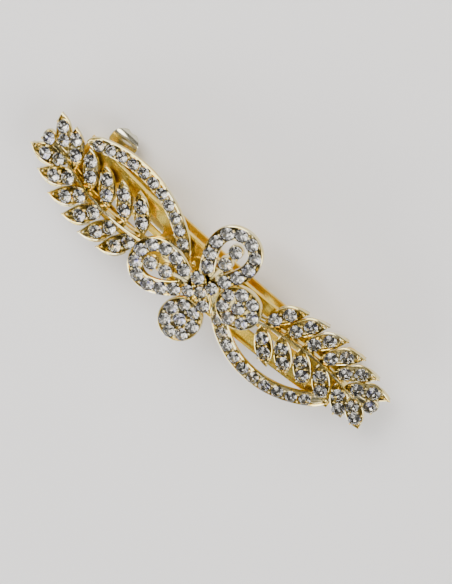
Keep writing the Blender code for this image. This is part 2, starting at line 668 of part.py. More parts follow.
def stones(look):
    places = []
    for side, word in ((1, "right"), (-1, "left")):
        sweep = math.tau - 2 * UPPER_RIM_START
        curve = lambda share: upper_wing_point(UPPER_RIM_START + sweep * share, side)
        rim = evenly(curve, UPPER_RIM_STONES)
        inner = [wing_to_world(reach, 0, side) for reach in UPPER_INNER_STONES]
        root = fly_to_world(UPPER_ROOT_STONE.x, side * UPPER_ROOT_STONE.y)
        places += [("stone_upper_%s_%02d" % (word, k + 1), p) for k, p in enumerate(rim + inner + [root])]
        ring = [lower_wing_point(math.tau * k / LOWER_RIM_STONES, side) for k in range(LOWER_RIM_STONES)]
        middle = fly_to_world(LOWER_WING_CENTRE[side].x, side * LOWER_WING_CENTRE[side].y)
        places += [("stone_lower_%s_%02d" % (word, k + 1), p) for k, p in enumerate(ring + [middle])]
    for k in range(BODY_STONES):
        places.append(("stone_body_%02d" % (k + 1), fly_to_world((1 - k) * BODY_PITCH, 0)))
    mesh = stone_mesh()
    for name, place in places:
        made = new_object(name, mesh, look)
        made.location = (place.x, place.y, FLY_TOP + SKEW + TOUCH_GAP)


def build():
    clear_scene()
    gold = material("gold plate", *GOLD)
    pale = material("pale gold plate", *PALE_GOLD)
    steel = material("plated spring steel", *STEEL_GOLD)
    crystal = material("foiled crystal", *CRYSTAL)
    base_bar(pale)
    hinge_pin(pale)
    swing_arm(pale)
    tension_spring(steel)
    catch_base(steel)
    catch_ear(1, "catch_ear_right", steel)
    catch_ear(-1, "catch_ear_left", steel)
    catch_rivet(pale)
    branches(gold)
    butterfly_frame(gold)
    post("right_post", PAD_CENTRE, BRANCH_BOTTOM - SKEW, gold)
    post("left_post", -PAD_CENTRE, BRANCH_BOTTOM - SKEW, gold)
    post("butterfly_post", FLY_CENTRE, FLY_BOTTOM - 2 * SKEW, gold)
    stones(crystal)


build()
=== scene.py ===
"""Rhinestone hair clip: the finished look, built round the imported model. Metres, +Z up."""

import json
import math

import bmesh
import bpy
from mathutils import Matrix, Vector


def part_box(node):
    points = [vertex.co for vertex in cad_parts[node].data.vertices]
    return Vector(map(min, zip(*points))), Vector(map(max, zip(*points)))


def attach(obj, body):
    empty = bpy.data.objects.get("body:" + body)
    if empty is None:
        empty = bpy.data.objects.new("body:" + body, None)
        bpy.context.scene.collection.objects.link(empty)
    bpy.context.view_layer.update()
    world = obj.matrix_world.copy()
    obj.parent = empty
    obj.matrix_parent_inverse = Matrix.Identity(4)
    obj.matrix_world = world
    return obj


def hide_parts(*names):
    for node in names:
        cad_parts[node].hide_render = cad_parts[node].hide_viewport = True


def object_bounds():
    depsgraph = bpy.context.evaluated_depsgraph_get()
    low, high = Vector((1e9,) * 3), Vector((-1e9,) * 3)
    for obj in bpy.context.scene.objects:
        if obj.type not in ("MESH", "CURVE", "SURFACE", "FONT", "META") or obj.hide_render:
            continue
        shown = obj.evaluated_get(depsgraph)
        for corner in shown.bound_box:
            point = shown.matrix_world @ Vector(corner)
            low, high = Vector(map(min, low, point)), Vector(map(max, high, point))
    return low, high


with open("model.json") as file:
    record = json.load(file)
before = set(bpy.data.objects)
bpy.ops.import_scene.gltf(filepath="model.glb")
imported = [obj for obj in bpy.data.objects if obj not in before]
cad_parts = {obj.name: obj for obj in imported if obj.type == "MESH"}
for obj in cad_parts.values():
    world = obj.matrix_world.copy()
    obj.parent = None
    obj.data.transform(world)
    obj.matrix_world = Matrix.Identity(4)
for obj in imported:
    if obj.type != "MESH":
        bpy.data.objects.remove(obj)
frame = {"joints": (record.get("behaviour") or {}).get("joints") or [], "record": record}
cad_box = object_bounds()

MM = 0.001
bodies = {node: body for body, members in frame["record"]["behaviour"]["bodies"].items() for node in members}

# ---- Studio ------------------------------------------------------------------
# A pale matt floor under the resting clip, four large soft panels, and a long
# lens that looks down on the ornament from its +Y side.

FLOOR_SIZE = 1.2
FLOOR_GAP = 0.2 * MM
LENS_DISTANCE = 0.75
VIEW_HEIGHT = 114.5 * MM  # what the picture's long side takes in
CAMERA_TILT = math.radians(25)  # away from straight down, towards +Y
CAMERA_ROLL = math.radians(41.5)  # the clip's long axis runs down to the right
AIM_SHIFT = Vector((5.1 * MM, -1.86 * MM))  # picture's centre from the clip's, to the right and up
AIM_HEIGHT = 3.3 * MM
ROOM_LIGHT = 0.58


def deselect():
    bpy.ops.object.select_all(action="DESELECT")


deselect()
floor_height = cad_box[0][2] - FLOOR_GAP
bpy.ops.mesh.primitive_plane_add(size=FLOOR_SIZE, location=(0, 0, floor_height))
floor = bpy.context.object
floor.name = "floor"
floor_look = bpy.data.materials.new("pale stone floor")
floor_look.use_nodes = True
floor_shader = floor_look.node_tree.nodes["Principled BSDF"]
floor_shader.inputs["Base Color"].default_value = (0.87, 0.855, 0.855, 1)
floor_shader.inputs["Roughness"].default_value = 0.55
floor.data.materials.append(floor_look)

view_back = Vector((0, math.sin(CAMERA_TILT), math.cos(CAMERA_TILT)))
view_side = Vector((0, math.cos(CAMERA_TILT), -math.sin(CAMERA_TILT)))
view_right = Vector((1, 0, 0)) * math.cos(CAMERA_ROLL) + view_side * math.sin(CAMERA_ROLL)
view_up = view_side * math.cos(CAMERA_ROLL) - Vector((1, 0, 0)) * math.sin(CAMERA_ROLL)
aim = Vector((0, 0, AIM_HEIGHT)) + view_right * AIM_SHIFT.x + view_up * AIM_SHIFT.y
turn = Matrix((view_right, view_up, view_back)).transposed().to_4x4()
bpy.ops.object.camera_add()
camera = bpy.context.object
camera.matrix_world = Matrix.Translation(aim + view_back * LENS_DISTANCE) @ turn
camera.data.sensor_fit = "VERTICAL"
camera.data.lens = camera.data.sensor_height * LENS_DISTANCE / VIEW_HEIGHT
camera.data.clip_start = 0.01
bpy.context.scene.camera = camera


def soft_panel(name, place, size, watts, tint):
    """A large square lamp that faces the clip."""
    bpy.ops.object.light_add(type="AREA", location=place)
    lamp = bpy.context.object
    lamp.name = name
    lamp.data.shape = "RECTANGLE"
    lamp.data.size, lamp.data.size_y = size
    lamp.data.energy = watts
    lamp.data.color = tint
    lamp.rotation_euler = Vector(place).to_track_quat("Z", "Y").to_euler()
    deselect()


soft_panel("key_panel", (-0.35, 0.30, 0.45), (0.45, 0.45), 5.6, (1.0, 0.98, 0.95))
soft_panel("fill_panel", (0.50, 0.10, 0.30), (0.35, 0.5), 3.4, (1.0, 0.99, 0.97))
soft_panel("top_panel", (0.0, -0.30, 0.62), (0.30, 0.30), 0.5, (1.0, 0.99, 0.96))
soft_panel("low_panel", (-0.10, -0.50, 0.22), (0.5, 0.25), 2.8, (1.0, 1.0, 1.0))

world = bpy.data.worlds.new("studio")
bpy.context.scene.world = world
world.use_nodes = True
nodes, links = world.node_tree.nodes, world.node_tree.links
nodes["Background"].inputs["Strength"].default_value = ROOM_LIGHT
place = nodes.new("ShaderNodeTexCoord")
panes = nodes.new("ShaderNodeTexVoronoi")
panes.inputs["Scale"].default_value = 3.6
grey = nodes.new("ShaderNodeSeparateColor")
room = nodes.new("ShaderNodeValToRGB")
room.color_ramp.elements[0].position = 0.15
room.color_ramp.elements[0].color = (0.07, 0.068, 0.062, 1)
room.color_ramp.elements[1].position = 1.0
room.color_ramp.elements[1].color = (1.0, 0.97, 0.92, 1)
links.new(place.outputs["Generated"], panes.inputs["Vector"])
links.new(panes.outputs["Color"], grey.inputs["Color"])
links.new(grey.outputs["Red"], room.inputs["Fac"])
links.new(room.outputs["Color"], nodes["Background"].inputs["Color"])

# ---- Base bar ----------------------------------------------------------------
# The fitting's arched top bar: brass strip stamped with turned-up rims, two
# rounded slots and a rivet hole, its two hinge ears folded down, then plated
# pale gold. The die leaves a faint pebbled skin on it.

ARCH_RADIUS = 140 * MM
MIDDLE_FLAT = 2 * MM
STRIP_THICKNESS = 0.65 * MM
RIM_HEIGHT = 1.2 * MM
SLOT_NEAR, SLOT_FAR, SLOT_HALF_WIDTH = 12 * MM, 25.5 * MM, 2.4 * MM
SLOT_CORNER = 1.2 * MM
EAR_BELOW_PIN, EAR_THICKNESS = 1.65 * MM, 0.6 * MM
EAR_INSET, EAR_ROOT, EAR_FLARE, EAR_SHIFT = 0.02 * MM, 0.35 * MM, 0.55, 0.6 * MM
PIN_HOLE = 0.93 * MM
CATCH_X = -29.6 * MM
RIVET_HOLE = 0.85 * MM
PUNCH_REACH, BORE_REACH = 3 * MM, 9 * MM  # a cutter's half height and half length
STRIP_EDGE = 0.12 * MM
EAR_EDGE = 0.1 * MM
MERGE_DISTANCE = 0.001 * MM
SMOOTH_ANGLE = math.radians(38)
PALE_LIGHT, PALE_DEEP = (0.90, 0.69, 0.15, 1), (0.84, 0.54, 0.05, 1)

pin = Vector(next(j["pos_m"] for j in frame["joints"] if j["name"] == "arm_hinge"))
bar_low, bar_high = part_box("base_bar")


def drop(x, radius):
    """How far an arch has fallen below its crown at x."""
    return radius - math.sqrt(radius * radius - x * x)


def under(x):
    """Height of the bar's underside."""
    return -max(drop(x, ARCH_RADIUS) - drop(MIDDLE_FLAT, ARCH_RADIUS), 0.0)


def hold(piece):
    """Make a piece the only selected one."""
    deselect()
    piece.select_set(True)
    bpy.context.view_layer.objects.active = piece


def whole_mesh(piece):
    hold(piece)
    bpy.ops.object.mode_set(mode="EDIT")
    bpy.ops.mesh.select_all(action="SELECT")


def done():
    bpy.ops.object.mode_set(mode="OBJECT")


def select_faces(piece, test):
    """Enter edit mode with the faces for which test(face) holds selected."""
    hold(piece)
    bpy.ops.object.mode_set(mode="EDIT")
    bpy.ops.mesh.select_mode(type="FACE")
    bpy.ops.mesh.select_all(action="DESELECT")
    done()
    for face in piece.data.polygons:
        face.select = test(face)
    bpy.ops.object.mode_set(mode="EDIT")


def sheet(name, along, across, place):
    """A grid bent to place(s, t), with s and t running from 0 to 1 along its two sides."""
    deselect()
    bpy.ops.mesh.primitive_grid_add(x_subdivisions=along, y_subdivisions=across, size=1)
    piece = bpy.context.object
    piece.name = name
    for corner in piece.data.vertices:
        corner.co = place(corner.co.x + 0.5, corner.co.y + 0.5)
    return piece


def tube(name, along, profile, place, closed=False):
    """A closed section swept along s by place(s, across, up), with its ends filled unless it is a loop."""
    count = len(profile)
    piece = sheet(name, along, count, lambda s, t: place(s, *profile[round(t * count) % count]))
    whole_mesh(piece)
    bpy.ops.mesh.remove_doubles(threshold=MERGE_DISTANCE)
    if not closed:
        bpy.ops.mesh.fill_holes(sides=0)
    bpy.ops.mesh.normals_make_consistent(inside=False)
    done()
    return piece


def apply_step(piece, kind, **settings):
    """Add a modifier with these settings and apply it."""
    hold(piece)
    step = piece.modifiers.new("step", kind)
    for key, value in settings.items():
        setattr(step, key, value)
    bpy.ops.object.modifier_apply(modifier=step.name)


def soften(piece, width, segments=2, angle=35):
    """Round the edges that are sharper than this angle."""
    limit = math.radians(angle)
    apply_step(piece, "BEVEL", width=width, segments=segments, limit_method="ANGLE", angle_limit=limit)


def cut_out(piece, cutter):
    apply_step(piece, "BOOLEAN", operation="DIFFERENCE", solver="EXACT", object=cutter)
    bpy.data.objects.remove(cutter)


def block(low, high):
    """A box between two corners, its place in its mesh."""
    deselect()
    low, high = Vector(low), Vector(high)
    bpy.ops.mesh.primitive_cube_add(size=1, location=(low + high) / 2)
    piece = bpy.context.object
    piece.scale = high - low
    bpy.ops.object.transform_apply(location=True, rotation=True, scale=True)
    return piece


def rounded_block(low, high, corner):
    """A box with its upright edges rounded, for punching a slot."""
    piece = block(low, high)
    hold(piece)
    bpy.ops.object.mode_set(mode="EDIT")
    bpy.ops.mesh.select_mode(type="EDGE")
    bpy.ops.mesh.select_all(action="DESELECT")
    done()
    for edge in piece.data.edges:
        a, b = (piece.data.vertices[k].co for k in edge.vertices)
        edge.select = abs(a.z - b.z) > (high[2] - low[2]) / 2
    bpy.ops.object.mode_set(mode="EDIT")
    bpy.ops.mesh.bevel(offset=corner, segments=8)
    done()
    return piece


def rod(radius, a, b, sides=40):
    """A round bar from a to b, its place in its mesh."""
    deselect()
    a, b = Vector(a), Vector(b)
    turn = (b - a).to_track_quat("Z", "Y").to_euler()
    depth = (b - a).length
    bpy.ops.mesh.primitive_cylinder_add(
        vertices=sides, radius=radius, depth=depth, location=(a + b) / 2, rotation=turn
    )
    bpy.ops.object.transform_apply(location=True, rotation=True, scale=True)
    return bpy.context.object


def ring(centre, axis, outer, inner, half_length, edge=0.1 * MM):
    """A bored and softened collar round an axis."""
    centre, axis = Vector(centre), Vector(axis)
    collar = rod(outer, centre - axis * half_length, centre + axis * half_length)
    cut_out(collar, rod(inner, centre - axis * half_length * 2, centre + axis * half_length * 2))
    soften(collar, edge, 2)
    return collar


def dome_at(centre, size):
    """A ball stretched to three half sizes, its place in its mesh."""
    deselect()
    bpy.ops.mesh.primitive_uv_sphere_add(segments=32, ring_count=16, radius=1, location=centre)
    dome = bpy.context.object
    dome.scale = size
    bpy.ops.object.transform_apply(location=True, rotation=True, scale=True)
    return dome


def join(name, parts):
    deselect()
    for part in parts:
        part.select_set(True)
    bpy.context.view_layer.objects.active = parts[0]
    bpy.ops.object.join()
    parts[0].name = name
    return parts[0]


def reshape(piece, place):
    for corner in piece.data.vertices:
        corner.co = place(corner.co)


def onto_arch(point):
    return Vector((point.x, point.y, point.z + under(point.x)))


def finish(piece, look, slot, *nodes):
    """Shade, paint and hang a piece on the body of the CAD nodes that it stands for."""
    hold(piece)
    bpy.ops.object.shade_smooth_by_angle(angle=SMOOTH_ANGLE)
    if look:
        piece.data.materials.clear()
        piece.data.materials.append(look)
    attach(piece, bodies[nodes[0]])
    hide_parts(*nodes)


def plate(name, light, deep, roughness, grain_size, grain_depth):
    """Electroplated gold: two close tones in soft clouds, a fine skin, and gloss that varies a little."""
    look = bpy.data.materials.new(name)
    look.use_nodes = True
    nodes, links = look.node_tree.nodes, look.node_tree.links
    shader = nodes["Principled BSDF"]
    shader.inputs["Metallic"].default_value = 1.0
    place = nodes.new("ShaderNodeTexCoord")
    clouds = nodes.new("ShaderNodeTexNoise")
    clouds.inputs["Scale"].default_value = 260
    clouds.inputs["Detail"].default_value = 3
    tone = nodes.new("ShaderNodeValToRGB")
    tone.color_ramp.elements[0].position = 0.35
    tone.color_ramp.elements[0].color = deep
    tone.color_ramp.elements[1].position = 0.62
    tone.color_ramp.elements[1].color = light
    links.new(place.outputs["Object"], clouds.inputs["Vector"])
    links.new(clouds.outputs["Fac"], tone.inputs["Fac"])
    links.new(tone.outputs["Color"], shader.inputs["Base Color"])
    gloss = nodes.new("ShaderNodeMapRange")
    gloss.inputs["To Min"].default_value = roughness * 0.7
    gloss.inputs["To Max"].default_value = roughness * 1.35
    links.new(clouds.outputs["Fac"], gloss.inputs["Value"])
    links.new(gloss.outputs["Result"], shader.inputs["Roughness"])
    grain = nodes.new("ShaderNodeTexNoise")
    grain.inputs["Scale"].default_value = 1 / grain_size
    grain.inputs["Detail"].default_value = 2
    skin = nodes.new("ShaderNodeBump")
    skin.inputs["Strength"].default_value = 0.6
    skin.inputs["Distance"].default_value = grain_depth
    links.new(place.outputs["Object"], grain.inputs["Vector"])
    links.new(grain.outputs["Fac"], skin.inputs["Height"])
    links.new(skin.outputs["Normal"], shader.inputs["Normal"])
    return look


def bar_sheet(s, t):
    return Vector((bar_low.x + (bar_high.x - bar_low.x) * s, (t - 0.5) * 2 * bar_half, 0))


bar_half = -bar_low.y
bar = sheet("arched_base_bar", 84, 8, bar_sheet)
hold(bar)
bpy.ops.object.mode_set(mode="EDIT")
bpy.ops.mesh.select_mode(type="EDGE")
bpy.ops.mesh.select_all(action="DESELECT")
done()
for edge in bar.data.edges:
    edge.select = all(abs(abs(bar.data.vertices[k].co.y) - bar_half) < MERGE_DISTANCE for k in edge.vertices)
bpy.ops.object.mode_set(mode="EDIT")
bpy.ops.mesh.extrude_region_move(TRANSFORM_OT_translate={"value": (0, 0, RIM_HEIGHT)})
done()
apply_step(bar, "SOLIDIFY", thickness=STRIP_THICKNESS, offset=1, use_even_offset=True)
for near, far in ((SLOT_NEAR, SLOT_FAR), (-SLOT_FAR, -SLOT_NEAR)):
    low, high = (near, -SLOT_HALF_WIDTH, -PUNCH_REACH), (far, SLOT_HALF_WIDTH, PUNCH_REACH)
    cut_out(bar, rounded_block(low, high, SLOT_CORNER))
cut_out(bar, rod(RIVET_HOLE, (CATCH_X, 0, -PUNCH_REACH), (CATCH_X, 0, PUNCH_REACH)))
soften(bar, STRIP_EDGE)
reshape(bar, onto_arch)

ears = []
for side in (-1, 1):
    outer = side * (bar_half - EAR_INSET)
    inner = side * (bar_half - EAR_THICKNESS)
    ear = rod(EAR_BELOW_PIN, (pin.x, inner, pin.z), (pin.x, outer, pin.z), 48)

    def ear_shape(point):
        rise = max(point.z - pin.z, 0.0) / EAR_BELOW_PIN
        top = under(pin.x) + EAR_ROOT - pin.z
        x = pin.x + (point.x - pin.x) * (1 + EAR_FLARE * rise) - EAR_SHIFT * rise
        return Vector((x, point.y, point.z if rise == 0 else pin.z + rise * top))

    reshape(ear, ear_shape)
    cut_out(ear, rod(PIN_HOLE, (pin.x, -BORE_REACH, pin.z), (pin.x, BORE_REACH, pin.z)))
    soften(ear, EAR_EDGE)
    ears.append(ear)
bar = join("arched_base_bar", [bar] + ears)
pale_plate = plate("pale gold plate", PALE_LIGHT, PALE_DEEP, 0.24, 0.35 * MM, 0.03 * MM)
finish(bar, pale_plate, "plated_strip", "base_bar")

# ---- Hinge pin ---------------------------------------------------------------
# A plated steel pin pushed through both ears, with its ends peened to low domes.

PIN_RADIUS = 0.8 * MM
PIN_HEAD, PIN_DOME = 1.25 * MM, 0.42 * MM

pin_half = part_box("hinge_pin")[1].y
shank = rod(PIN_RADIUS, (pin.x, -pin_half + PIN_DOME, pin.z), (pin.x, pin_half - PIN_DOME, pin.z))
domes = []
for side in (-1, 1):
    domes.append(dome_at((pin.x, side * (pin_half - PIN_DOME), pin.z), (PIN_HEAD, PIN_DOME, PIN_HEAD)))
finish(join("hinge_pin_peened", [shank] + domes), pale_plate, "plated_strip", "hinge_pin")

# ---- Swing arm ---------------------------------------------------------------
# The lower jaw: a plated strip with a long slot, two knuckles rolled round the
# pin, a loop that snaps over the catch and a nose turned down for the thumb.

ARM_RADIUS = 300 * MM
ARM_TOP = -6.4 * MM
ARM_HALF_WIDTH, ARM_THICKNESS, ARM_END_GAP = 3.7 * MM, 0.68 * MM, 0.9 * MM
ARM_SLOT_START, ARM_SLOT_END, ARM_SLOT_HALF_WIDTH, ARM_SLOT_CORNER = -24 * MM, 28 * MM, 2.0 * MM, 1.0 * MM
LOOP_START, LOOP_END, LOOP_HALF_WIDTH, LOOP_CORNER = -31.9 * MM, -27.3 * MM, 2.5 * MM, 0.5 * MM
KNUCKLE_RADIUS, KNUCKLE_INNER, KNUCKLE_OUTER = 1.5 * MM, 2.1 * MM, 4.4 * MM
ARM_NOSE_X = -33.4 * MM
NOSE_HALF_THICKNESS, NOSE_SHORTER, NOSE_HANG, NOSE_TUCK = 0.34 * MM, 0.4 * MM, 1.78 * MM, 0.1 * MM
NOSE_EDGE = 0.16 * MM
SEAM_HALF_WIDTH, SEAM_HALF_LENGTH, SEAM_TOP, SEAM_BOTTOM = 0.06 * MM, 6 * MM, -1 * MM, -2 * MM


def arm_top(x):
    return ARM_TOP - drop(x, ARM_RADIUS)


def arm_sheet(s, t):
    return Vector((ARM_NOSE_X + (arm_end - ARM_NOSE_X) * s, (t - 0.5) * 2 * ARM_HALF_WIDTH, 0))


arm_end = pin.x - ARM_END_GAP
arm = sheet("slotted_swing_arm", 84, 6, arm_sheet)
apply_step(arm, "SOLIDIFY", thickness=ARM_THICKNESS, offset=-1)
for start, end, half_width, corner in (
    (ARM_SLOT_START, ARM_SLOT_END, ARM_SLOT_HALF_WIDTH, ARM_SLOT_CORNER),
    (LOOP_START, LOOP_END, LOOP_HALF_WIDTH, LOOP_CORNER),
):
    cut_out(arm, rounded_block((start, -half_width, -PUNCH_REACH), (end, half_width, PUNCH_REACH), corner))
gap = (ARM_SLOT_END - MM, -KNUCKLE_INNER, -PUNCH_REACH), (arm_end + MM, KNUCKLE_INNER, PUNCH_REACH)
cut_out(arm, block(*gap))
soften(arm, STRIP_EDGE)
reshape(arm, lambda point: Vector((point.x, point.y, point.z + arm_top(point.x))))
nose_top = arm_top(ARM_NOSE_X)
nose = block(
    (ARM_NOSE_X - NOSE_HALF_THICKNESS, -ARM_HALF_WIDTH + NOSE_SHORTER, nose_top - NOSE_HANG),
    (ARM_NOSE_X + NOSE_HALF_THICKNESS, ARM_HALF_WIDTH - NOSE_SHORTER, nose_top - NOSE_TUCK),
)
soften(nose, NOSE_EDGE, 3)
knuckles = []
for side in (-1, 1):
    middle = (pin.x, side * (KNUCKLE_INNER + KNUCKLE_OUTER) / 2, pin.z)
    knuckle = ring(middle, (0, 1, 0), KNUCKLE_RADIUS, PIN_HOLE, (KNUCKLE_OUTER - KNUCKLE_INNER) / 2)
    seam_low = (pin.x - SEAM_HALF_WIDTH, -SEAM_HALF_LENGTH, pin.z + SEAM_BOTTOM)
    seam_high = (pin.x + SEAM_HALF_WIDTH, SEAM_HALF_LENGTH, pin.z + SEAM_TOP)
    cut_out(knuckle, block(seam_low, seam_high))
    knuckles.append(knuckle)
finish(join("slotted_swing_arm", [arm, nose] + knuckles), pale_plate, "plated_strip", "swing_arm")

# ---- Tension spring ----------------------------------------------------------
# A bowed strip of thin spring steel, rolled round the pin between the knuckles.
# It presses the lock of hair against the bar.

SPRING_TIP_X = -22 * MM
SPRING_HALF_WIDTH = 1.6 * MM
SPRING_CROWN = 2.05 * MM
SPRING_THICKNESS, SPRING_EDGE = 0.38 * MM, 0.08 * MM
SPRING_CURL, CURL_EDGE, CURL_ENTRY = 1.35 * MM, 0.06 * MM, 0.4 * MM
SPRING_TIP_LIFT, SPRING_TIP_SHARE = 0.16 * MM, 0.25
STEEL_LIGHT, STEEL_DEEP = (0.70, 0.67, 0.55, 1), (0.60, 0.57, 0.43, 1)


def spring_place(s, t):
    start = arm_top(SPRING_TIP_X) + SPRING_TIP_LIFT
    end = pin.z + SPRING_CURL - CURL_ENTRY
    x = SPRING_TIP_X + (pin.x - SPRING_TIP_X) * s
    round_off = min((x - SPRING_TIP_X) / SPRING_HALF_WIDTH, 1.0)
    fullness = math.sqrt(1 - (1 - round_off) ** 2)
    half = SPRING_HALF_WIDTH * (SPRING_TIP_SHARE + (1 - SPRING_TIP_SHARE) * fullness)
    return Vector((x, (t - 0.5) * 2 * half, start + (end - start) * s + SPRING_CROWN * 4 * s * (1 - s)))


spring = sheet("bowed_tension_spring", 80, 4, spring_place)
apply_step(spring, "SOLIDIFY", thickness=SPRING_THICKNESS, offset=1)
soften(spring, SPRING_EDGE)
curl = ring(pin, (0, 1, 0), SPRING_CURL, PIN_HOLE, SPRING_HALF_WIDTH, CURL_EDGE)
steel_plate = plate("plated spring steel", STEEL_LIGHT, STEEL_DEEP, 0.24, 0.5 * MM, 0.01 * MM)
finish(join("bowed_tension_spring", [spring, curl]), steel_plate, "spring_steel", "tension_spring")

# ---- Catch -------------------------------------------------------------------
# Spring steel, folded: a plate riveted under the bar, and two ears with a hooked
# leg through the arm's loop and an oval finger tab that curls down at its rim.

CATCH_THICKNESS, CATCH_DROP, CATCH_EDGE = 0.45 * MM, 0.1 * MM, 0.1 * MM
CATCH_LEG_Y = 1.5 * MM
LEG_HALF_LENGTH = 1.8 * MM
LEG_BOTTOM = -9.3 * MM
FOLD_DROP = 0.65 * MM
HOOK_SHORTER, HOOK_TUCK, HOOK_REACH, HOOK_LOW, HOOK_HIGH = 0.3 * MM, 0.1 * MM, 0.28 * MM, 0.05 * MM, 0.45 * MM
TAB_HALF_WIDTH, TAB_DISH, TAB_DROP = 3.0 * MM, 0.5 * MM, 1.3 * MM
TAB_WAIST, TAB_FULL_AT, TAB_ROUND_AT, TAB_TIP_SHARE = 0.52, 0.45, 0.6, 0.2
RIVET_SHANK, RIVET_HEAD, RIVET_DOME = 0.7 * MM, 1.15 * MM, 0.4 * MM
RIVET_LOW, RIVET_HIGH, UPPER_HEAD, LOWER_HEAD = -0.7 * MM, 0.9 * MM, 0.84 * MM, -0.68 * MM

# a tab's line seen along the bar, in millimetres: out from the clip's middle, and up from the tab's root
TAB_LINE = [(1.75, -0.1), (4.0, -0.6), (6.0, -1.7), (7.6, 0.2), (9.2, 0.5), (9.6, -1.5)]

plate_low, plate_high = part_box("catch_base")


def catch_plate(s, t):
    x = plate_low.x + (plate_high.x - plate_low.x) * s
    return Vector((x, plate_low.y + (plate_high.y - plate_low.y) * t, -CATCH_DROP))


base = sheet("catch_plate", 10, 6, catch_plate)
apply_step(base, "SOLIDIFY", thickness=CATCH_THICKNESS, offset=-1)
cut_out(base, rod(RIVET_HOLE, (CATCH_X, 0, -PUNCH_REACH), (CATCH_X, 0, PUNCH_REACH)))
soften(base, CATCH_EDGE)
reshape(base, onto_arch)
finish(base, steel_plate, "spring_steel", "catch_base")

lean = Matrix.Rotation(math.asin(CATCH_X / ARCH_RADIUS), 4, "Y")
rivet_parts = [rod(RIVET_SHANK, (0, 0, RIVET_LOW), (0, 0, RIVET_HIGH))]
for height, way in ((UPPER_HEAD, 1), (LOWER_HEAD, -1)):
    dome = dome_at((0, 0, 0), (RIVET_HEAD, RIVET_HEAD, RIVET_DOME))
    reshape(dome, lambda point: Vector((point.x, point.y, height + way * max(way * point.z, 0))))
    whole_mesh(dome)
    bpy.ops.mesh.remove_doubles(threshold=MERGE_DISTANCE)
    done()
    rivet_parts.append(dome)
rivet = join("domed_catch_rivet", rivet_parts)
rivet.data.transform(Matrix.Translation((CATCH_X, 0, under(CATCH_X))) @ lean)
finish(rivet, pale_plate, "plated_strip", "catch_rivet")

fold_z = under(CATCH_X - LEG_HALF_LENGTH) - FOLD_DROP
leg_outer = CATCH_LEG_Y + CATCH_THICKNESS


def spline(points, share):
    """A Bezier curve of any degree."""
    row = [Vector(p) for p in points]
    while len(row) > 1:
        row = [a.lerp(b, share) for a, b in zip(row, row[1:])]
    return row[0]


def tab_place(s, t):
    """The tab's mid surface: out from the leg, dished, and rolled over at the rim."""
    y, z = spline(TAB_LINE, s) * MM
    waist = TAB_WAIST + (1 - TAB_WAIST) * min(s / TAB_FULL_AT, 1.0) ** 1.5
    round_end = math.sqrt(max(1 - max((s - TAB_ROUND_AT) / 0.42, 0.0) ** 2, 0.0))
    half = TAB_HALF_WIDTH * waist * max(round_end, TAB_TIP_SHARE)
    dish = TAB_DISH * (2 * t - 1) ** 2 * min(s / 0.4, 1.0)
    return Vector((CATCH_X + (2 * t - 1) * half, y, z - dish + fold_z - TAB_DROP))


for side, word in ((1, "right"), (-1, "left")):
    name = "squeeze_ear_" + word
    tab = sheet(name, 48, 20, tab_place)
    apply_step(tab, "SOLIDIFY", thickness=CATCH_THICKNESS, offset=0)
    soften(tab, STRIP_EDGE, 3, 50)
    leg_near, leg_far = CATCH_X - LEG_HALF_LENGTH, CATCH_X + LEG_HALF_LENGTH
    leg = block((leg_near, CATCH_LEG_Y, LEG_BOTTOM), (leg_far, leg_outer, fold_z))
    soften(leg, STRIP_EDGE, 3)
    hook = block(
        (leg_near + HOOK_SHORTER, leg_outer - HOOK_TUCK, LEG_BOTTOM + HOOK_LOW),
        (leg_far - HOOK_SHORTER, leg_outer + HOOK_REACH, LEG_BOTTOM + HOOK_HIGH),
    )
    soften(hook, CATCH_EDGE, 3)
    ear = join(name, [tab, leg, hook])
    if side < 0:
        ear.data.transform(Matrix.Scale(-1, 4, (0, 1, 0)))
        ear.data.flip_normals()
    finish(ear, steel_plate, "spring_steel", "catch_ear_" + word)

# ---- Leaf sprays -------------------------------------------------------------
# Two lost-wax castings, alike when one is turned half round but for the swoosh:
# a ridged stem, cupped leaves with curled tips, and a channelled swoosh of ten or
# eleven stones. Small gold beads are pushed over each stone's edge.

CAST_LOW = 1.7 * MM
BED = 2.0 * MM
RIM_TOP = 2.8 * MM
TIP_RISE = 0.45 * MM
ROLL_START, ROLL_RADIUS, ROLL_HEIGHT = 0.42, 0.42 * MM, 2.95 * MM
ROLL_END, ROLL_LIFT, ROLL_SIDES = 1.03, 0.5 * MM, 12
GIRDLE = 3.3 * MM
STONE_RADIUS = 1.37 * MM
BEAD_RADIUS, BEAD_SINK, BEAD_LIFT = 0.27 * MM, 0.45, 0.05 * MM
BEAD_REACH = STONE_RADIUS + 0.08 * MM
END_BEAD_OUT, END_BEAD_SIDE, GAP_BEAD_SIDE = 0.72, 0.7, 0.55  # shares of that reach
SEAT_HALF_WIDTH = 1.5 * MM
RIM_WIDTH, CUP_TAPER, CUP_EDGE = 0.26 * MM, 0.75, 0.07 * MM
STEM_CREST, STEM_BEND = Vector((24 * MM, 3.1 * MM)), 12.5
STEM_START, STEM_END = 8 * MM, 37.6 * MM
LEAF_HALF_WIDTH = 1.78 * MM
LEAF_FULLNESS, LEAF_POINT, LEAF_STEPS = 2.4, 0.1 * MM, 36
LOWER_TIP_RISE, FOOT_FALL, END_BED_DEPTH = 0.15 * MM, 0.6 * MM, 0.3 * MM
UPPER_FOOT, UPPER_PITCH, UPPER_CLOSING = 14.6 * MM, 4.65 * MM, 0.12 * MM
LOWER_FOOT, LOWER_PITCH, LOWER_OPENING = 14.0 * MM, 4.2 * MM, 0.13 * MM
UPPER_SHORTENING, LOWER_SHORTENING, LOWER_STAND_OFF = 0.06 * MM, 0.25 * MM, 0.5 * MM
TIP_BEADS = (0.9, 0.98)
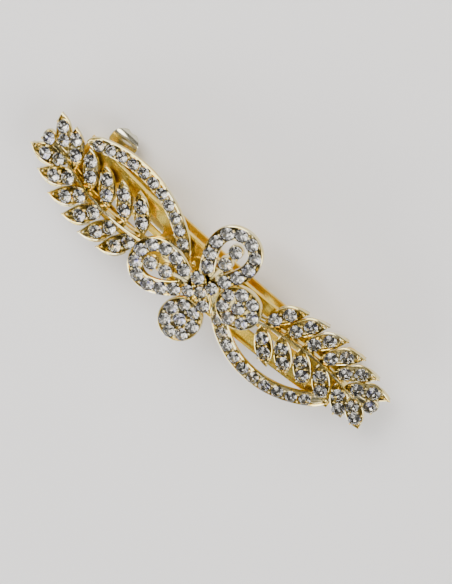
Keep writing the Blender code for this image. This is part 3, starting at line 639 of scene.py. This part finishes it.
UPPER_LEAVES, UPPER_LENGTH, UPPER_STONES, UPPER_HOOK = 6, 9.3 * MM, (2.6 * MM, 5.75 * MM), 0.9 * MM
LOWER_LEAVES, LOWER_LENGTH, LOWER_STONES, LOWER_HOOK = 5, 9.2 * MM, (3.0 * MM, 6.1 * MM), 0.25 * MM
END_LENGTH, END_STONES = 8.0 * MM, (2.8 * MM, 5.45 * MM)
END_CUP = Vector((41.4 * MM, 1.2 * MM))
RIGHT_SWOOSH = [Vector(p) * MM for p in ((5.2, -1.2), (10.5, -8.0), (22.5, -13.0), (34.4, -3.0))]
LEFT_SWOOSH = [Vector(p) * MM for p in ((5.2, -1.2), (10.5, -7.6), (22.5, -12.8), (35.0, -4.4))]
SWOOSH_FIRST, RIGHT_ROW, LEFT_ROW = 3.35 * MM, (10, 2.79 * MM), (11, 2.69 * MM)
SWOOSH_STEPS, SWOOSH_FILL, SWOOSH_TOPS = 72, 0.8 * MM, (RIM_TOP - 0.1 * MM, RIM_TOP + 0.15 * MM)
PAD, PAD_RADIUS, PAD_EDGE = Vector((8 * MM, -0.9 * MM)), 3.1 * MM, 0.1 * MM
TIP_RIB_HALF_WIDTH, TIP_RIB_TOP, TIP_RIB_LIFT = 0.7 * MM, 2.9 * MM, 0.1 * MM
SOLDER_LUMPS, SOLDER_SIZE, SOLDER_HEIGHT = 5, 2.6, 2.2 * MM
CAST_LIGHT, CAST_DEEP = (0.77, 0.69, 0.42, 1), (0.76, 0.58, 0.16, 1)

# half of the stem's section: across from its middle, and up, in millimetres
STEM_SECTION = ((0.7, 1.65), (0.7, 2.3), (0.44, 2.6), (0.36, 3.1), (0.34, 3.6), (0.25, 3.82), (0.1, 3.92))

# half of a channel's section: inset from its edge, the level it is measured from
# (0 its foot, 1 its bed, 2 the top of its rim), and the height above that level
CHANNEL = (
    (0.35, 0, 0.0),
    (0.0, 0, 0.35),
    (-0.03, 2, -0.24),
    (0.03, 2, -0.05),
    (0.13, 2, 0.0),
    (0.23, 2, -0.07),
    (0.28, 2, -0.28),
    (0.46, 1, 0.1),
    (0.6, 1, 0.0),
    (9.0, 1, -0.03),
)


def direction(angle):
    return Vector((math.cos(angle), math.sin(angle)))


def stem_point(x):
    return Vector((x, STEM_CREST.y - STEM_BEND * (x - STEM_CREST.x) ** 2))


def ease(share):
    share = min(max(share, 0.0), 1.0)
    return share * share * (3 - 2 * share)


def bezier(points, share):
    a, b, c, d = points
    rest = 1 - share
    return a * rest**3 + b * 3 * rest**2 * share + c * 3 * rest * share**2 + d * share**3


def travel(line, distance):
    """The point this far along a line of points."""
    for a, b in zip(line, line[1:]):
        step = (b - a).length
        if distance <= step:
            return a + (b - a) * (distance / step)
        distance -= step
    return line[-1]


def evenly(curve, count, steps=400):
    """Points at equal distances along curve(0 to 1)."""
    line = [curve(k / steps) for k in range(steps + 1)]
    total = sum((b - a).length for a, b in zip(line, line[1:]))
    return [travel(line, total * k / (count - 1)) for k in range(count)]


def channel(name, line, half_width, low, bed, tops):
    """A cast channel along a plan line. bed and the two tops are heights at s, the left side's top first."""
    last = len(line) - 1
    left = [(1,) + row for row in CHANNEL]
    section = left + [(-1,) + row[1:] for row in reversed(left)]

    def place(s, side, inset, level, rise):
        k = round(s * last)
        along = (line[min(k + 1, last)] - line[max(k - 1, 0)]).normalized()
        across = side * max(half_width(s) - inset * MM, 0.0)
        point = line[k] + Vector((-along.y, along.x)) * across
        height = (low, bed(s), tops(s)[0 if side > 0 else 1])[level] + rise * MM
        return Vector((point.x, point.y, height))

    return tube(name, last, section, place)


def along_leaf(foot, angle, length, hook, share):
    """A point on a leaf's middle line, which bends aside towards its tip."""
    along = direction(angle)
    return foot + along * length * share + Vector((along.y, -along.x)) * hook * share**4


def leaf(foot, angle, length, hook):
    """A cupped leaf: pointed at both ends, its bed filled at the foot and the tip, its tip curled up."""
    line = [along_leaf(foot, angle, length, hook, k / LEAF_STEPS) for k in range(LEAF_STEPS + 1)]
    tip_rise = TIP_RISE if hook == UPPER_HOOK else LOWER_TIP_RISE

    def half_width(s):
        return max(LEAF_HALF_WIDTH * (1 - abs(2 * s - 1) ** LEAF_FULLNESS), LEAF_POINT)

    def top(s):
        return RIM_TOP + tip_rise * ease((s - 0.6) / 0.35) - FOOT_FALL * ease((0.16 - s) / 0.16)

    def bed(s):
        fill = max(ease((s - 0.8) / 0.12), ease((0.14 - s) / 0.1))
        return BED + (top(s) - END_BED_DEPTH - BED) * fill

    return channel("leaf", line, half_width, CAST_LOW, bed, lambda s: (top(s), top(s)))


def roll(foot, angle, length, hook):
    """The curled outer lip of an upper leaf: a tapering wire laid along its rim and over its tip."""
    along = direction(angle)
    side = Vector((along.y, -along.x))

    def place(s, across, up):
        share = ROLL_START + (ROLL_END - ROLL_START) * s
        centre = along_leaf(foot, angle, length, hook, share)
        thick = ROLL_RADIUS * (0.3 + 0.7 * math.sin(math.pi * min(s * 0.9 + 0.05, 1)))
        out = LEAF_HALF_WIDTH * max(1 - abs(2 * share - 1) ** LEAF_FULLNESS, 0) + 0.5 * thick
        point = centre - side * (out + across * thick)
        height = ROLL_HEIGHT + ROLL_LIFT * ease((share - 0.6) / 0.4) + up * thick
        return Vector((point.x, point.y, height))

    return tube("roll", 30, [tuple(direction(k * math.tau / ROLL_SIDES)) for k in range(ROLL_SIDES)], place)


def cup(centre, low, bed, top):
    """A round seat for one stone."""
    seat = rod(SEAT_HALF_WIDTH, (centre.x, centre.y, low), (centre.x, centre.y, top), 32)
    select_faces(seat, lambda face: face.normal.z > 0.9)
    bpy.ops.mesh.inset(thickness=RIM_WIDTH, depth=0)
    bpy.ops.mesh.extrude_region_move(TRANSFORM_OT_translate={"value": (0, 0, bed - top)})
    bpy.ops.transform.resize(value=(CUP_TAPER, CUP_TAPER, 1), center_override=(centre.x, centre.y, bed))
    done()
    soften(seat, CUP_EDGE)
    return seat


def strut(a, b, half_width, low, high):
    """A short straight rib with rounded edges."""
    along = (b - a).normalized()
    side = Vector((-along.y, along.x)) * half_width
    rib = block((0, -1, 0), (1, 1, 1))
    reshape(rib, lambda p: Vector((*(a + (b - a) * p.x + side * p.y), low + (high - low) * p.z)))
    soften(rib, 0.2 * half_width, 3)
    return rib


def master_bead():
    """A low dome of gold, open underneath where it grows out of the casting."""
    deselect()
    bpy.ops.mesh.primitive_ico_sphere_add(subdivisions=2, radius=BEAD_RADIUS)
    bead = bpy.context.object
    whole_mesh(bead)
    bpy.ops.mesh.bisect(
        plane_co=(0, 0, -BEAD_SINK * BEAD_RADIUS), plane_no=(0, 0, -1), use_fill=True, clear_outer=True
    )
    done()
    return bead


def bead_row(stones, reach=BEAD_REACH, closed=False):
    """Where the beads go that hold a row of stones: a pair at each gap and a pair past each end."""
    spots = []
    count = len(stones)
    for k in range(count if closed else count - 1):
        a, b = stones[k], stones[(k + 1) % count]
        side = Vector((a.y - b.y, b.x - a.x)).normalized()
        half_gap = (b - a).length / 2
        out = math.sqrt(max(reach * reach - half_gap * half_gap, (GAP_BEAD_SIDE * reach) ** 2))
        spots += [(a + b) / 2 + side * out, (a + b) / 2 - side * out]
    if not closed:
        for end, inner in ((stones[0], stones[1]), (stones[-1], stones[-2])):
            away = (end - inner).normalized() * reach
            side = Vector((-away.y, away.x))
            spots += [end + away * END_BEAD_OUT + side * way * END_BEAD_SIDE for way in (1, -1)]
    return spots


def bead_square(stone, angle, reach=BEAD_REACH):
    """Where the four beads go that hold a stone on its own."""
    return [stone + direction(angle + k * math.pi / 2) * reach for k in range(4)]


def beads(spots, height):
    """Beads set at plan points, each turned and sized a little differently."""
    master = master_bead()
    copies = []
    for k, spot in enumerate(spots):
        copy = master.copy()
        copy.data = master.data.copy()
        bpy.context.collection.objects.link(copy)
        size = 1 + 0.14 * math.sin(k * 2.4)
        turn = Matrix.Rotation(k * 1.7, 4, "Z") @ Matrix.Diagonal((size, size * 0.9, size, 1))
        copy.data.transform(Matrix.Translation((spot.x, spot.y, height)) @ turn)
        copies.append(copy)
    bpy.data.objects.remove(master)
    return copies


leaf_plan = []
for k in range(UPPER_LEAVES):
    foot = stem_point(UPPER_FOOT + UPPER_PITCH * k - UPPER_CLOSING * k * k)
    angle = math.radians(60 - 1.4 * k * k)
    leaf_plan.append((foot, angle, UPPER_LENGTH - UPPER_SHORTENING * k, UPPER_STONES, UPPER_HOOK))
for k in range(LOWER_LEAVES):
    angle = math.radians(-47.5 - k)
    root = stem_point(LOWER_FOOT + LOWER_PITCH * k + LOWER_OPENING * k * k)
    foot = root + LOWER_STAND_OFF * direction(angle)
    leaf_plan.append((foot, angle, LOWER_LENGTH - LOWER_SHORTENING * k, LOWER_STONES, -LOWER_HOOK))
leaf_plan.append((stem_point(STEM_END - 0.8 * MM), math.radians(-45), END_LENGTH, END_STONES, -LOWER_HOOK))

spray_parts, leaf_stones, tip_spots = [], [END_CUP], []
bead_spots = bead_square(END_CUP, math.radians(45))
for foot, angle, length, places, hook in leaf_plan:
    spray_parts.append(leaf(foot, angle, length, hook))
    if hook == UPPER_HOOK:
        spray_parts.append(roll(foot, angle, length, hook))
        tip_spots += [along_leaf(foot, angle, length, hook, share) for share in TIP_BEADS]
    pair = [foot + direction(angle) * place for place in places]
    leaf_stones += pair
    bead_spots += bead_row(pair)


def stem_place(s, across, height):
    point = stem_point(STEM_START + (STEM_END - STEM_START) * s)
    slope = Vector((1, -2 * STEM_BEND * (point.x - STEM_CREST.x))).normalized()
    across *= 1 - 0.35 * s
    point += Vector((-slope.y, slope.x)) * across * MM
    return Vector((point.x, point.y, height * MM))


stem_section = list(STEM_SECTION) + [(-across, height) for across, height in reversed(STEM_SECTION)]
spray_parts.append(tube("stem", 240, stem_section, stem_place))
stem_tip = stem_point(STEM_END - MM)
cup_side = END_CUP + (stem_tip - END_CUP).normalized() * (SEAT_HALF_WIDTH - 0.1 * MM)
spray_parts.append(strut(stem_tip, cup_side, TIP_RIB_HALF_WIDTH, CAST_LOW + TIP_RIB_LIFT, TIP_RIB_TOP))
spray_parts.append(cup(END_CUP, CAST_LOW, BED, RIM_TOP))
pad = rod(PAD_RADIUS, (*PAD, CAST_LOW), (*PAD, BED))
soften(pad, PAD_EDGE, 3)
spray_parts.append(pad)
solder = [Vector((3.4 + 0.8 * k, -1.5 + 0.7 * math.sin(2.1 * k))) * MM for k in range(SOLDER_LUMPS)]
for lump in beads(solder, 0):
    centre = sum((v.co for v in lump.data.vertices), Vector()) / len(lump.data.vertices)
    reshape(lump, lambda p: centre + (p - centre) * SOLDER_SIZE + Vector((0, 0, SOLDER_HEIGHT)))
    spray_parts.append(lump)
spray_parts += beads(bead_spots, GIRDLE + BEAD_LIFT)
spray_parts += beads(tip_spots, RIM_TOP + TIP_RISE)
half_spray = join("half spray", spray_parts)


def swoosh_parts(curve, row):
    """A swoosh, its outer rim drawn up into a wire, and the places of its stones."""
    line = evenly(lambda share: bezier(curve, share), SWOOSH_STEPS + 1)
    stones = [travel(line, SWOOSH_FIRST + row[1] * k) for k in range(row[0])]

    def half_width(s):
        ends = min(ease((s + 0.05) / 0.11), math.sqrt(min((1 - s) / 0.08, 1)))
        return SEAT_HALF_WIDTH * (0.12 + 0.88 * ends)

    def bed(s):
        return BED + SWOOSH_FILL * max(ease((0.06 - s) / 0.04), ease((s - 0.955) / 0.03))

    band = channel("swoosh", line, half_width, CAST_LOW, bed, lambda s: SWOOSH_TOPS)
    return [band] + beads(bead_row(stones, STONE_RADIUS), GIRDLE + BEAD_LIFT), stones


def whole_spray(name, curve, row, turn):
    copy = half_spray.copy()
    copy.data = half_spray.data.copy()
    bpy.context.collection.objects.link(copy)
    parts, stones = swoosh_parts(curve, row)
    spray = join(name, [copy] + parts)
    reshape(spray, onto_arch)
    spray.data.transform(Matrix.Rotation(turn, 4, "Z"))
    return spray, stones


right_spray, right_row = whole_spray("right_leaf_spray", RIGHT_SWOOSH, RIGHT_ROW, 0)
left_spray, left_row = whole_spray("left_leaf_spray", LEFT_SWOOSH, LEFT_ROW, math.pi)
bpy.data.objects.remove(half_spray)
cast_gold = plate("cast gold plate", CAST_LIGHT, CAST_DEEP, 0.14, 0.5 * MM, 0.02 * MM)
finish(right_spray, cast_gold, "gold_casting", "right_branch")
finish(left_spray, cast_gold, "gold_casting", "left_branch")

# ---- Butterfly ---------------------------------------------------------------
# One more casting, raised on its post: two open looped wings, two small solid
# ones and a body, every channel as wide as one stone.

FLY_CENTRE, FLY_HEADING = Vector((1.3 * MM, -0.3 * MM)), math.radians(139)
FLY_LOW, FLY_BED, FLY_RIM, FLY_GIRDLE = 4.5 * MM, 4.93 * MM, 5.85 * MM, 6.2 * MM
WING_ANGLE, WING_LENGTH = {1: math.radians(49.5), -1: math.radians(53)}, {1: 13.1 * MM, -1: 12.5 * MM}
WING_ROOT, WING_STEPS, TEARDROP_PEAK = 2.0 * MM, 96, 0.77
RIB_START, RIB_HALF_WIDTH, RIB_LIFT = 3.0 * MM, 0.45 * MM, 0.1 * MM
ROOT_REACH, ROOT_RADIUS = 3.6 * MM, 2.3 * MM
WING_HALF_WIDTH, WING_START = 4.25 * MM, math.radians(50)
INNER_STONES = (11.4 * MM, 8.0 * MM)
LOBE_CENTRE = {1: Vector((-4.0 * MM, 7.1 * MM)), -1: Vector((-5.2 * MM, 5.3 * MM))}
LOBE_ANGLE = math.radians(130)
LOBE_REACH, LOBE_SPREAD, LOBE_EDGE = 3.3 * MM, 2.9 * MM, 0.08 * MM
BODY_PITCH, BODY_END, BODY_HALF_WIDTH, BODY_STEPS = 2.95 * MM, 1.5 * MM, 1.55 * MM, 48
HUB_RADIUS, HUB_DROP, FLY_EDGE = 3.6 * MM, 0.08 * MM, 0.15 * MM
WING_TOPS = {1: (FLY_RIM - 0.05 * MM, FLY_RIM + 0.15 * MM), -1: (FLY_RIM + 0.15 * MM, FLY_RIM - 0.05 * MM)}


def fly_to_world(along, across):
    head = direction(FLY_HEADING)
    return FLY_CENTRE + head * along + Vector((head.y, -head.x)) * across


def turned_wing(reach, spread, angle, centre, side):
    """From a wing's own plan, out along its axis and across it, to the clip's plan."""
    along = centre.x + reach * math.cos(angle) - spread * math.sin(angle)
    across = centre.y + reach * math.sin(angle) + spread * math.cos(angle)
    return fly_to_world(along, side * across)


def on_wing(reach, side):
    """A point on an upper wing's axis."""
    return turned_wing(reach, 0, WING_ANGLE[side], Vector((0, 0)), side)


def wing_point(turn, side):
    """The upper wing's row of stones: a teardrop with its point at the body."""
    reach = WING_ROOT + WING_LENGTH[side] * (1 - math.cos(turn)) / 2
    spread = WING_HALF_WIDTH * math.sin(turn) * math.sin(turn / 2) / TEARDROP_PEAK
    return turned_wing(reach, spread, WING_ANGLE[side], Vector((0, 0)), side)


def lobe_point(turn, side, grow=0.0):
    reach, spread = (LOBE_REACH + grow) * math.cos(turn), (LOBE_SPREAD + grow) * math.sin(turn)
    return turned_wing(reach, spread, LOBE_ANGLE, LOBE_CENTRE[side], side)


def middle_of(node):
    low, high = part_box(node)
    return Vector(((low[0] + high[0]) / 2, (low[1] + high[1]) / 2))


fly_parts, fly_beads = [], []
for side, word in ((1, "right"), (-1, "left")):
    sweep = math.tau - 2 * WING_START
    loop = evenly(lambda share: wing_point(WING_START + sweep * share, side), WING_STEPS + 1)
    shape = (lambda s: SEAT_HALF_WIDTH, FLY_LOW, lambda s: FLY_BED, lambda s: WING_TOPS[side])
    fly_parts.append(channel("upper wing", loop, *shape))
    rim = [middle_of("stone_upper_%s_%02d" % (word, k)) for k in range(1, 11)]
    fly_beads += bead_row(rim)
    for k, reach in enumerate(INNER_STONES):
        seat = on_wing(reach, side)
        fly_parts.append(cup(seat, FLY_LOW, FLY_BED, FLY_RIM))
        fly_beads += bead_square(seat, FLY_HEADING + k)
    ends = [on_wing(reach, side) for reach in (RIB_START, INNER_STONES[0])]
    fly_parts.append(strut(*ends, RIB_HALF_WIDTH, FLY_LOW, FLY_BED + RIB_LIFT))
    root = on_wing(ROOT_REACH, side)
    disc = rod(ROOT_RADIUS, (*root, FLY_LOW), (*root, FLY_BED), 32)
    soften(disc, FLY_EDGE)
    fly_parts.append(disc)
    fly_beads += bead_square(middle_of("stone_upper_%s_13" % word), FLY_HEADING)

    lobe = rod(1, (0, 0, FLY_LOW), (0, 0, FLY_RIM), 64)

    def lobe_shape(p):
        plan = lobe_point(math.atan2(p.y, p.x), side, SEAT_HALF_WIDTH)
        return Vector((plan.x, plan.y, p.z))

    reshape(lobe, lobe_shape)
    whole_mesh(lobe)
    bpy.ops.mesh.normals_make_consistent(inside=False)
    done()
    select_faces(lobe, lambda face: face.normal.z > 0.9)
    bpy.ops.mesh.inset(thickness=RIM_WIDTH, depth=0)
    bpy.ops.mesh.extrude_region_move(TRANSFORM_OT_translate={"value": (0, 0, FLY_BED - FLY_RIM)})
    done()
    soften(lobe, LOBE_EDGE)
    fly_parts.append(lobe)
    ring_row = [middle_of("stone_lower_%s_%02d" % (word, k)) for k in range(1, 8)]
    fly_beads += bead_row(ring_row, closed=True)
    fly_beads += bead_square(middle_of("stone_lower_%s_08" % word), FLY_HEADING)


def body_half_width(s):
    return BODY_HALF_WIDTH * math.sqrt(max(1 - abs(2 * s - 1) ** 6, 0.1))


body_line = evenly(lambda share: fly_to_world((BODY_PITCH + BODY_END) * (1 - 2 * share), 0), BODY_STEPS + 1)
shape = (body_half_width, FLY_LOW, lambda s: FLY_BED, lambda s: (FLY_RIM, FLY_RIM))
fly_parts.append(channel("body", body_line, *shape))
hub = rod(HUB_RADIUS, (*FLY_CENTRE, FLY_LOW - HUB_DROP), (*FLY_CENTRE, FLY_BED))
soften(hub, FLY_EDGE, 3)
fly_parts.append(hub)
fly_beads += bead_row([middle_of("stone_body_%02d" % k) for k in (1, 2, 3)])
fly_parts += beads(fly_beads, FLY_GIRDLE + BEAD_LIFT)
finish(join("openwork_butterfly", fly_parts), cast_gold, "gold_casting", "butterfly_frame")

# ---- Posts -------------------------------------------------------------------
# Short cast stubs soldered between the bar and the ornaments, waisted by hand.

POST_WAIST, POST_EDGE, POST_CUTS = 0.12, 0.08 * MM, (0.25, 0.5, 0.75)

for node, foot in (("right_post", PAD), ("left_post", -PAD), ("butterfly_post", FLY_CENTRE)):
    low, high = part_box(node)
    stub = rod((high.x - low.x) / 2, (foot.x, foot.y, low.z), (foot.x, foot.y, high.z), 36)
    whole_mesh(stub)
    for share in POST_CUTS:
        bpy.ops.mesh.select_all(action="SELECT")
        bpy.ops.mesh.bisect(plane_co=(0, 0, low.z + (high.z - low.z) * share), plane_no=(0, 0, 1))
    done()

    def waist(p):
        share = (p.z - low.z) / (high.z - low.z)
        pull = 1 - POST_WAIST * math.sin(math.pi * share)
        return Vector((foot.x + (p.x - foot.x) * pull, foot.y + (p.y - foot.y) * pull, p.z))

    reshape(stub, waist)
    soften(stub, POST_EDGE)
    stub.name = node + "_waisted"
    finish(stub, cast_gold, "gold_casting", node)

# ---- Crystals ----------------------------------------------------------------
# Round machine-cut glass stones with silver foil behind them. Each facet is cut
# by its own plane: bezels, stars and upper halves above the girdle, mains and
# lower halves below it.

TABLE_SHARE = 0.58
BEZEL_SLOPE, STAR_SLOPE, UPPER_SLOPE = math.radians(35), math.radians(21), math.radians(43)
MAIN_SLOPE, LOWER_SLOPE = math.radians(41), math.radians(43.5)
GIRDLE_HALF = 0.03
BLANK_BELOW, BLANK_ABOVE = 1.1, 0.5
CUT_TOLERANCE, FACET_MERGE = 0.0005 * MM, 0.002 * MM
FOIL_BELOW = -0.3  # facets that face further down than this are foiled
NEIGHBOUR_SHARE = 0.495  # of the way to the nearest stone that a stone may reach
SWOOSH_STONE_SHARE = 0.89
WOBBLE = 0.05


def cut_facets(stone, count, start, slope, reach, height, way):
    """Cut planes round the stone, each through one point of its axis-to-edge section."""
    for k in range(count):
        turn = start + k * math.tau / count
        out = direction(turn)
        plane = Vector((*(out * math.sin(slope)), way * math.cos(slope)))
        through = Vector((*(out * reach), way * height)) * STONE_RADIUS
        bpy.ops.mesh.select_all(action="SELECT")
        bpy.ops.mesh.bisect(
            plane_co=through, plane_no=plane, use_fill=True, clear_outer=True, threshold=CUT_TOLERANCE
        )


stone = rod(STONE_RADIUS, (0, 0, -BLANK_BELOW * STONE_RADIUS), (0, 0, BLANK_ABOVE * STONE_RADIUS), 32)
table_height = GIRDLE_HALF + (1 - TABLE_SHARE) * math.tan(BEZEL_SLOPE)
whole_mesh(stone)
eighth = math.tau / 8
cut_facets(stone, 1, 0, 0, 0, table_height, 1)
cut_facets(stone, 8, 0, BEZEL_SLOPE, 1, GIRDLE_HALF, 1)
cut_facets(stone, 8, eighth / 2, STAR_SLOPE, TABLE_SHARE * math.cos(eighth / 2), table_height, 1)
cut_facets(stone, 16, eighth / 4, UPPER_SLOPE, 1, GIRDLE_HALF, 1)
cut_facets(stone, 8, 0, MAIN_SLOPE, 1, GIRDLE_HALF, -1)
cut_facets(stone, 16, eighth / 4, LOWER_SLOPE, 1, GIRDLE_HALF, -1)
bpy.ops.mesh.select_all(action="SELECT")
bpy.ops.mesh.remove_doubles(threshold=FACET_MERGE)
bpy.ops.mesh.normals_make_consistent(inside=False)
done()
bpy.ops.object.shade_flat()

glass = bpy.data.materials.new("lead crystal")
glass.use_nodes = True
nodes, links = glass.node_tree.nodes, glass.node_tree.links
shader = nodes["Principled BSDF"]
shader.inputs["Transmission Weight"].default_value = 1.0
shader.inputs["IOR"].default_value = 1.52
shader.inputs["Roughness"].default_value = 0.01
place = nodes.new("ShaderNodeTexCoord")
# The glass's grey base colour is painted shade: it darkens the stones in place of darker reflections, and
# this noise varies that grey a little at random.
painted_shade_noise = nodes.new("ShaderNodeTexNoise")
painted_shade_noise.inputs["Scale"].default_value = 700
tint = nodes.new("ShaderNodeValToRGB")
tint.color_ramp.elements[0].color = (0.62, 0.61, 0.59, 1)
tint.color_ramp.elements[1].color = (0.74, 0.73, 0.71, 1)
links.new(place.outputs["Object"], painted_shade_noise.inputs["Vector"])
links.new(painted_shade_noise.outputs["Fac"], tint.inputs["Fac"])
links.new(tint.outputs["Color"], shader.inputs["Base Color"])

foil = bpy.data.materials.new("silver foil")
foil.use_nodes = True
nodes, links = foil.node_tree.nodes, foil.node_tree.links
shader = nodes["Principled BSDF"]
shader.inputs["Metallic"].default_value = 1.0
shader.inputs["Roughness"].default_value = 0.09
place = nodes.new("ShaderNodeTexCoord")
# The foil's grey base colour is painted shade that keeps the stones mid grey; its blue, amber and near-white
# flecks are painted glints standing in for the stones' fire.
fleck = nodes.new("ShaderNodeTexVoronoi")
fleck.inputs["Scale"].default_value = 1500
pick = nodes.new("ShaderNodeSeparateColor")
painted_fire_glints = nodes.new("ShaderNodeValToRGB")
painted_fire_glints.color_ramp.interpolation = "CONSTANT"
painted_fire_glints.color_ramp.elements[0].color = (0.58, 0.575, 0.56, 1)
painted_fire_glints.color_ramp.elements[1].position = 0.90
painted_fire_glints.color_ramp.elements[1].color = (0.50, 0.50, 0.74, 1)
amber = painted_fire_glints.color_ramp.elements.new(0.93)
amber.color = (0.85, 0.70, 0.48, 1)
plain = painted_fire_glints.color_ramp.elements.new(0.96)
plain.color = (0.90, 0.89, 0.87, 1)
links.new(place.outputs["Object"], fleck.inputs["Vector"])
links.new(fleck.outputs["Color"], pick.inputs["Color"])
links.new(pick.outputs["Red"], painted_fire_glints.inputs["Fac"])
links.new(painted_fire_glints.outputs["Color"], shader.inputs["Base Color"])

stone.data.materials.append(glass)
stone.data.materials.append(foil)
for face in stone.data.polygons:
    face.material_index = 1 if face.normal.z < FOIL_BELOW else 0


def room_for(plan, others):
    """The share of full size at which a stone just clears its nearest neighbour."""
    nearest = min((plan - other).length for other in others if (plan - other).length > 0)
    return min(1.0, NEIGHBOUR_SHARE * nearest / STONE_RADIUS)


def set_stone(name, plan, height, turn, lean, size):
    """A copy of the cut stone, sized, turned and leant a little, at its seat."""
    copy = stone.copy()
    copy.data = stone.data.copy()
    copy.name = name
    bpy.context.collection.objects.link(copy)
    tilt = Matrix.Rotation(lean, 4, "Y") @ Matrix.Rotation(turn, 4, "Z") @ Matrix.Scale(size, 4)
    copy.data.transform(Matrix.Translation((plan.x, plan.y, height)) @ tilt)
    return copy


fly_plans = {node: middle_of(node) for node in sorted(bodies) if node.startswith("stone_")}
for count, (node, plan) in enumerate(fly_plans.items()):
    wobble = WOBBLE * math.sin(7.3 * count)
    size = room_for(plan, fly_plans.values())
    crystal = set_stone(node.replace("stone_", "crystal_"), plan, FLY_GIRDLE, count * 0.9, wobble, size)
    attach(crystal, bodies[node])
    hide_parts(node)

for word, way, row in (("right", 1, right_row), ("left", -1, left_row)):
    for k, plan in enumerate(leaf_stones + row):
        size = room_for(plan, leaf_stones + row) * (1 if k < len(leaf_stones) else SWOOSH_STONE_SHARE)
        plan = plan * way
        lean = math.asin(plan.x / ARCH_RADIUS) + WOBBLE * math.sin(5.1 * k)
        name = "crystal_spray_%s_%02d" % (word, k + 1)
        crystal = set_stone(name, plan, GIRDLE + under(plan.x), k * 1.3 + way, lean, size)
        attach(crystal, bodies[word + "_branch"])
bpy.data.objects.remove(stone)
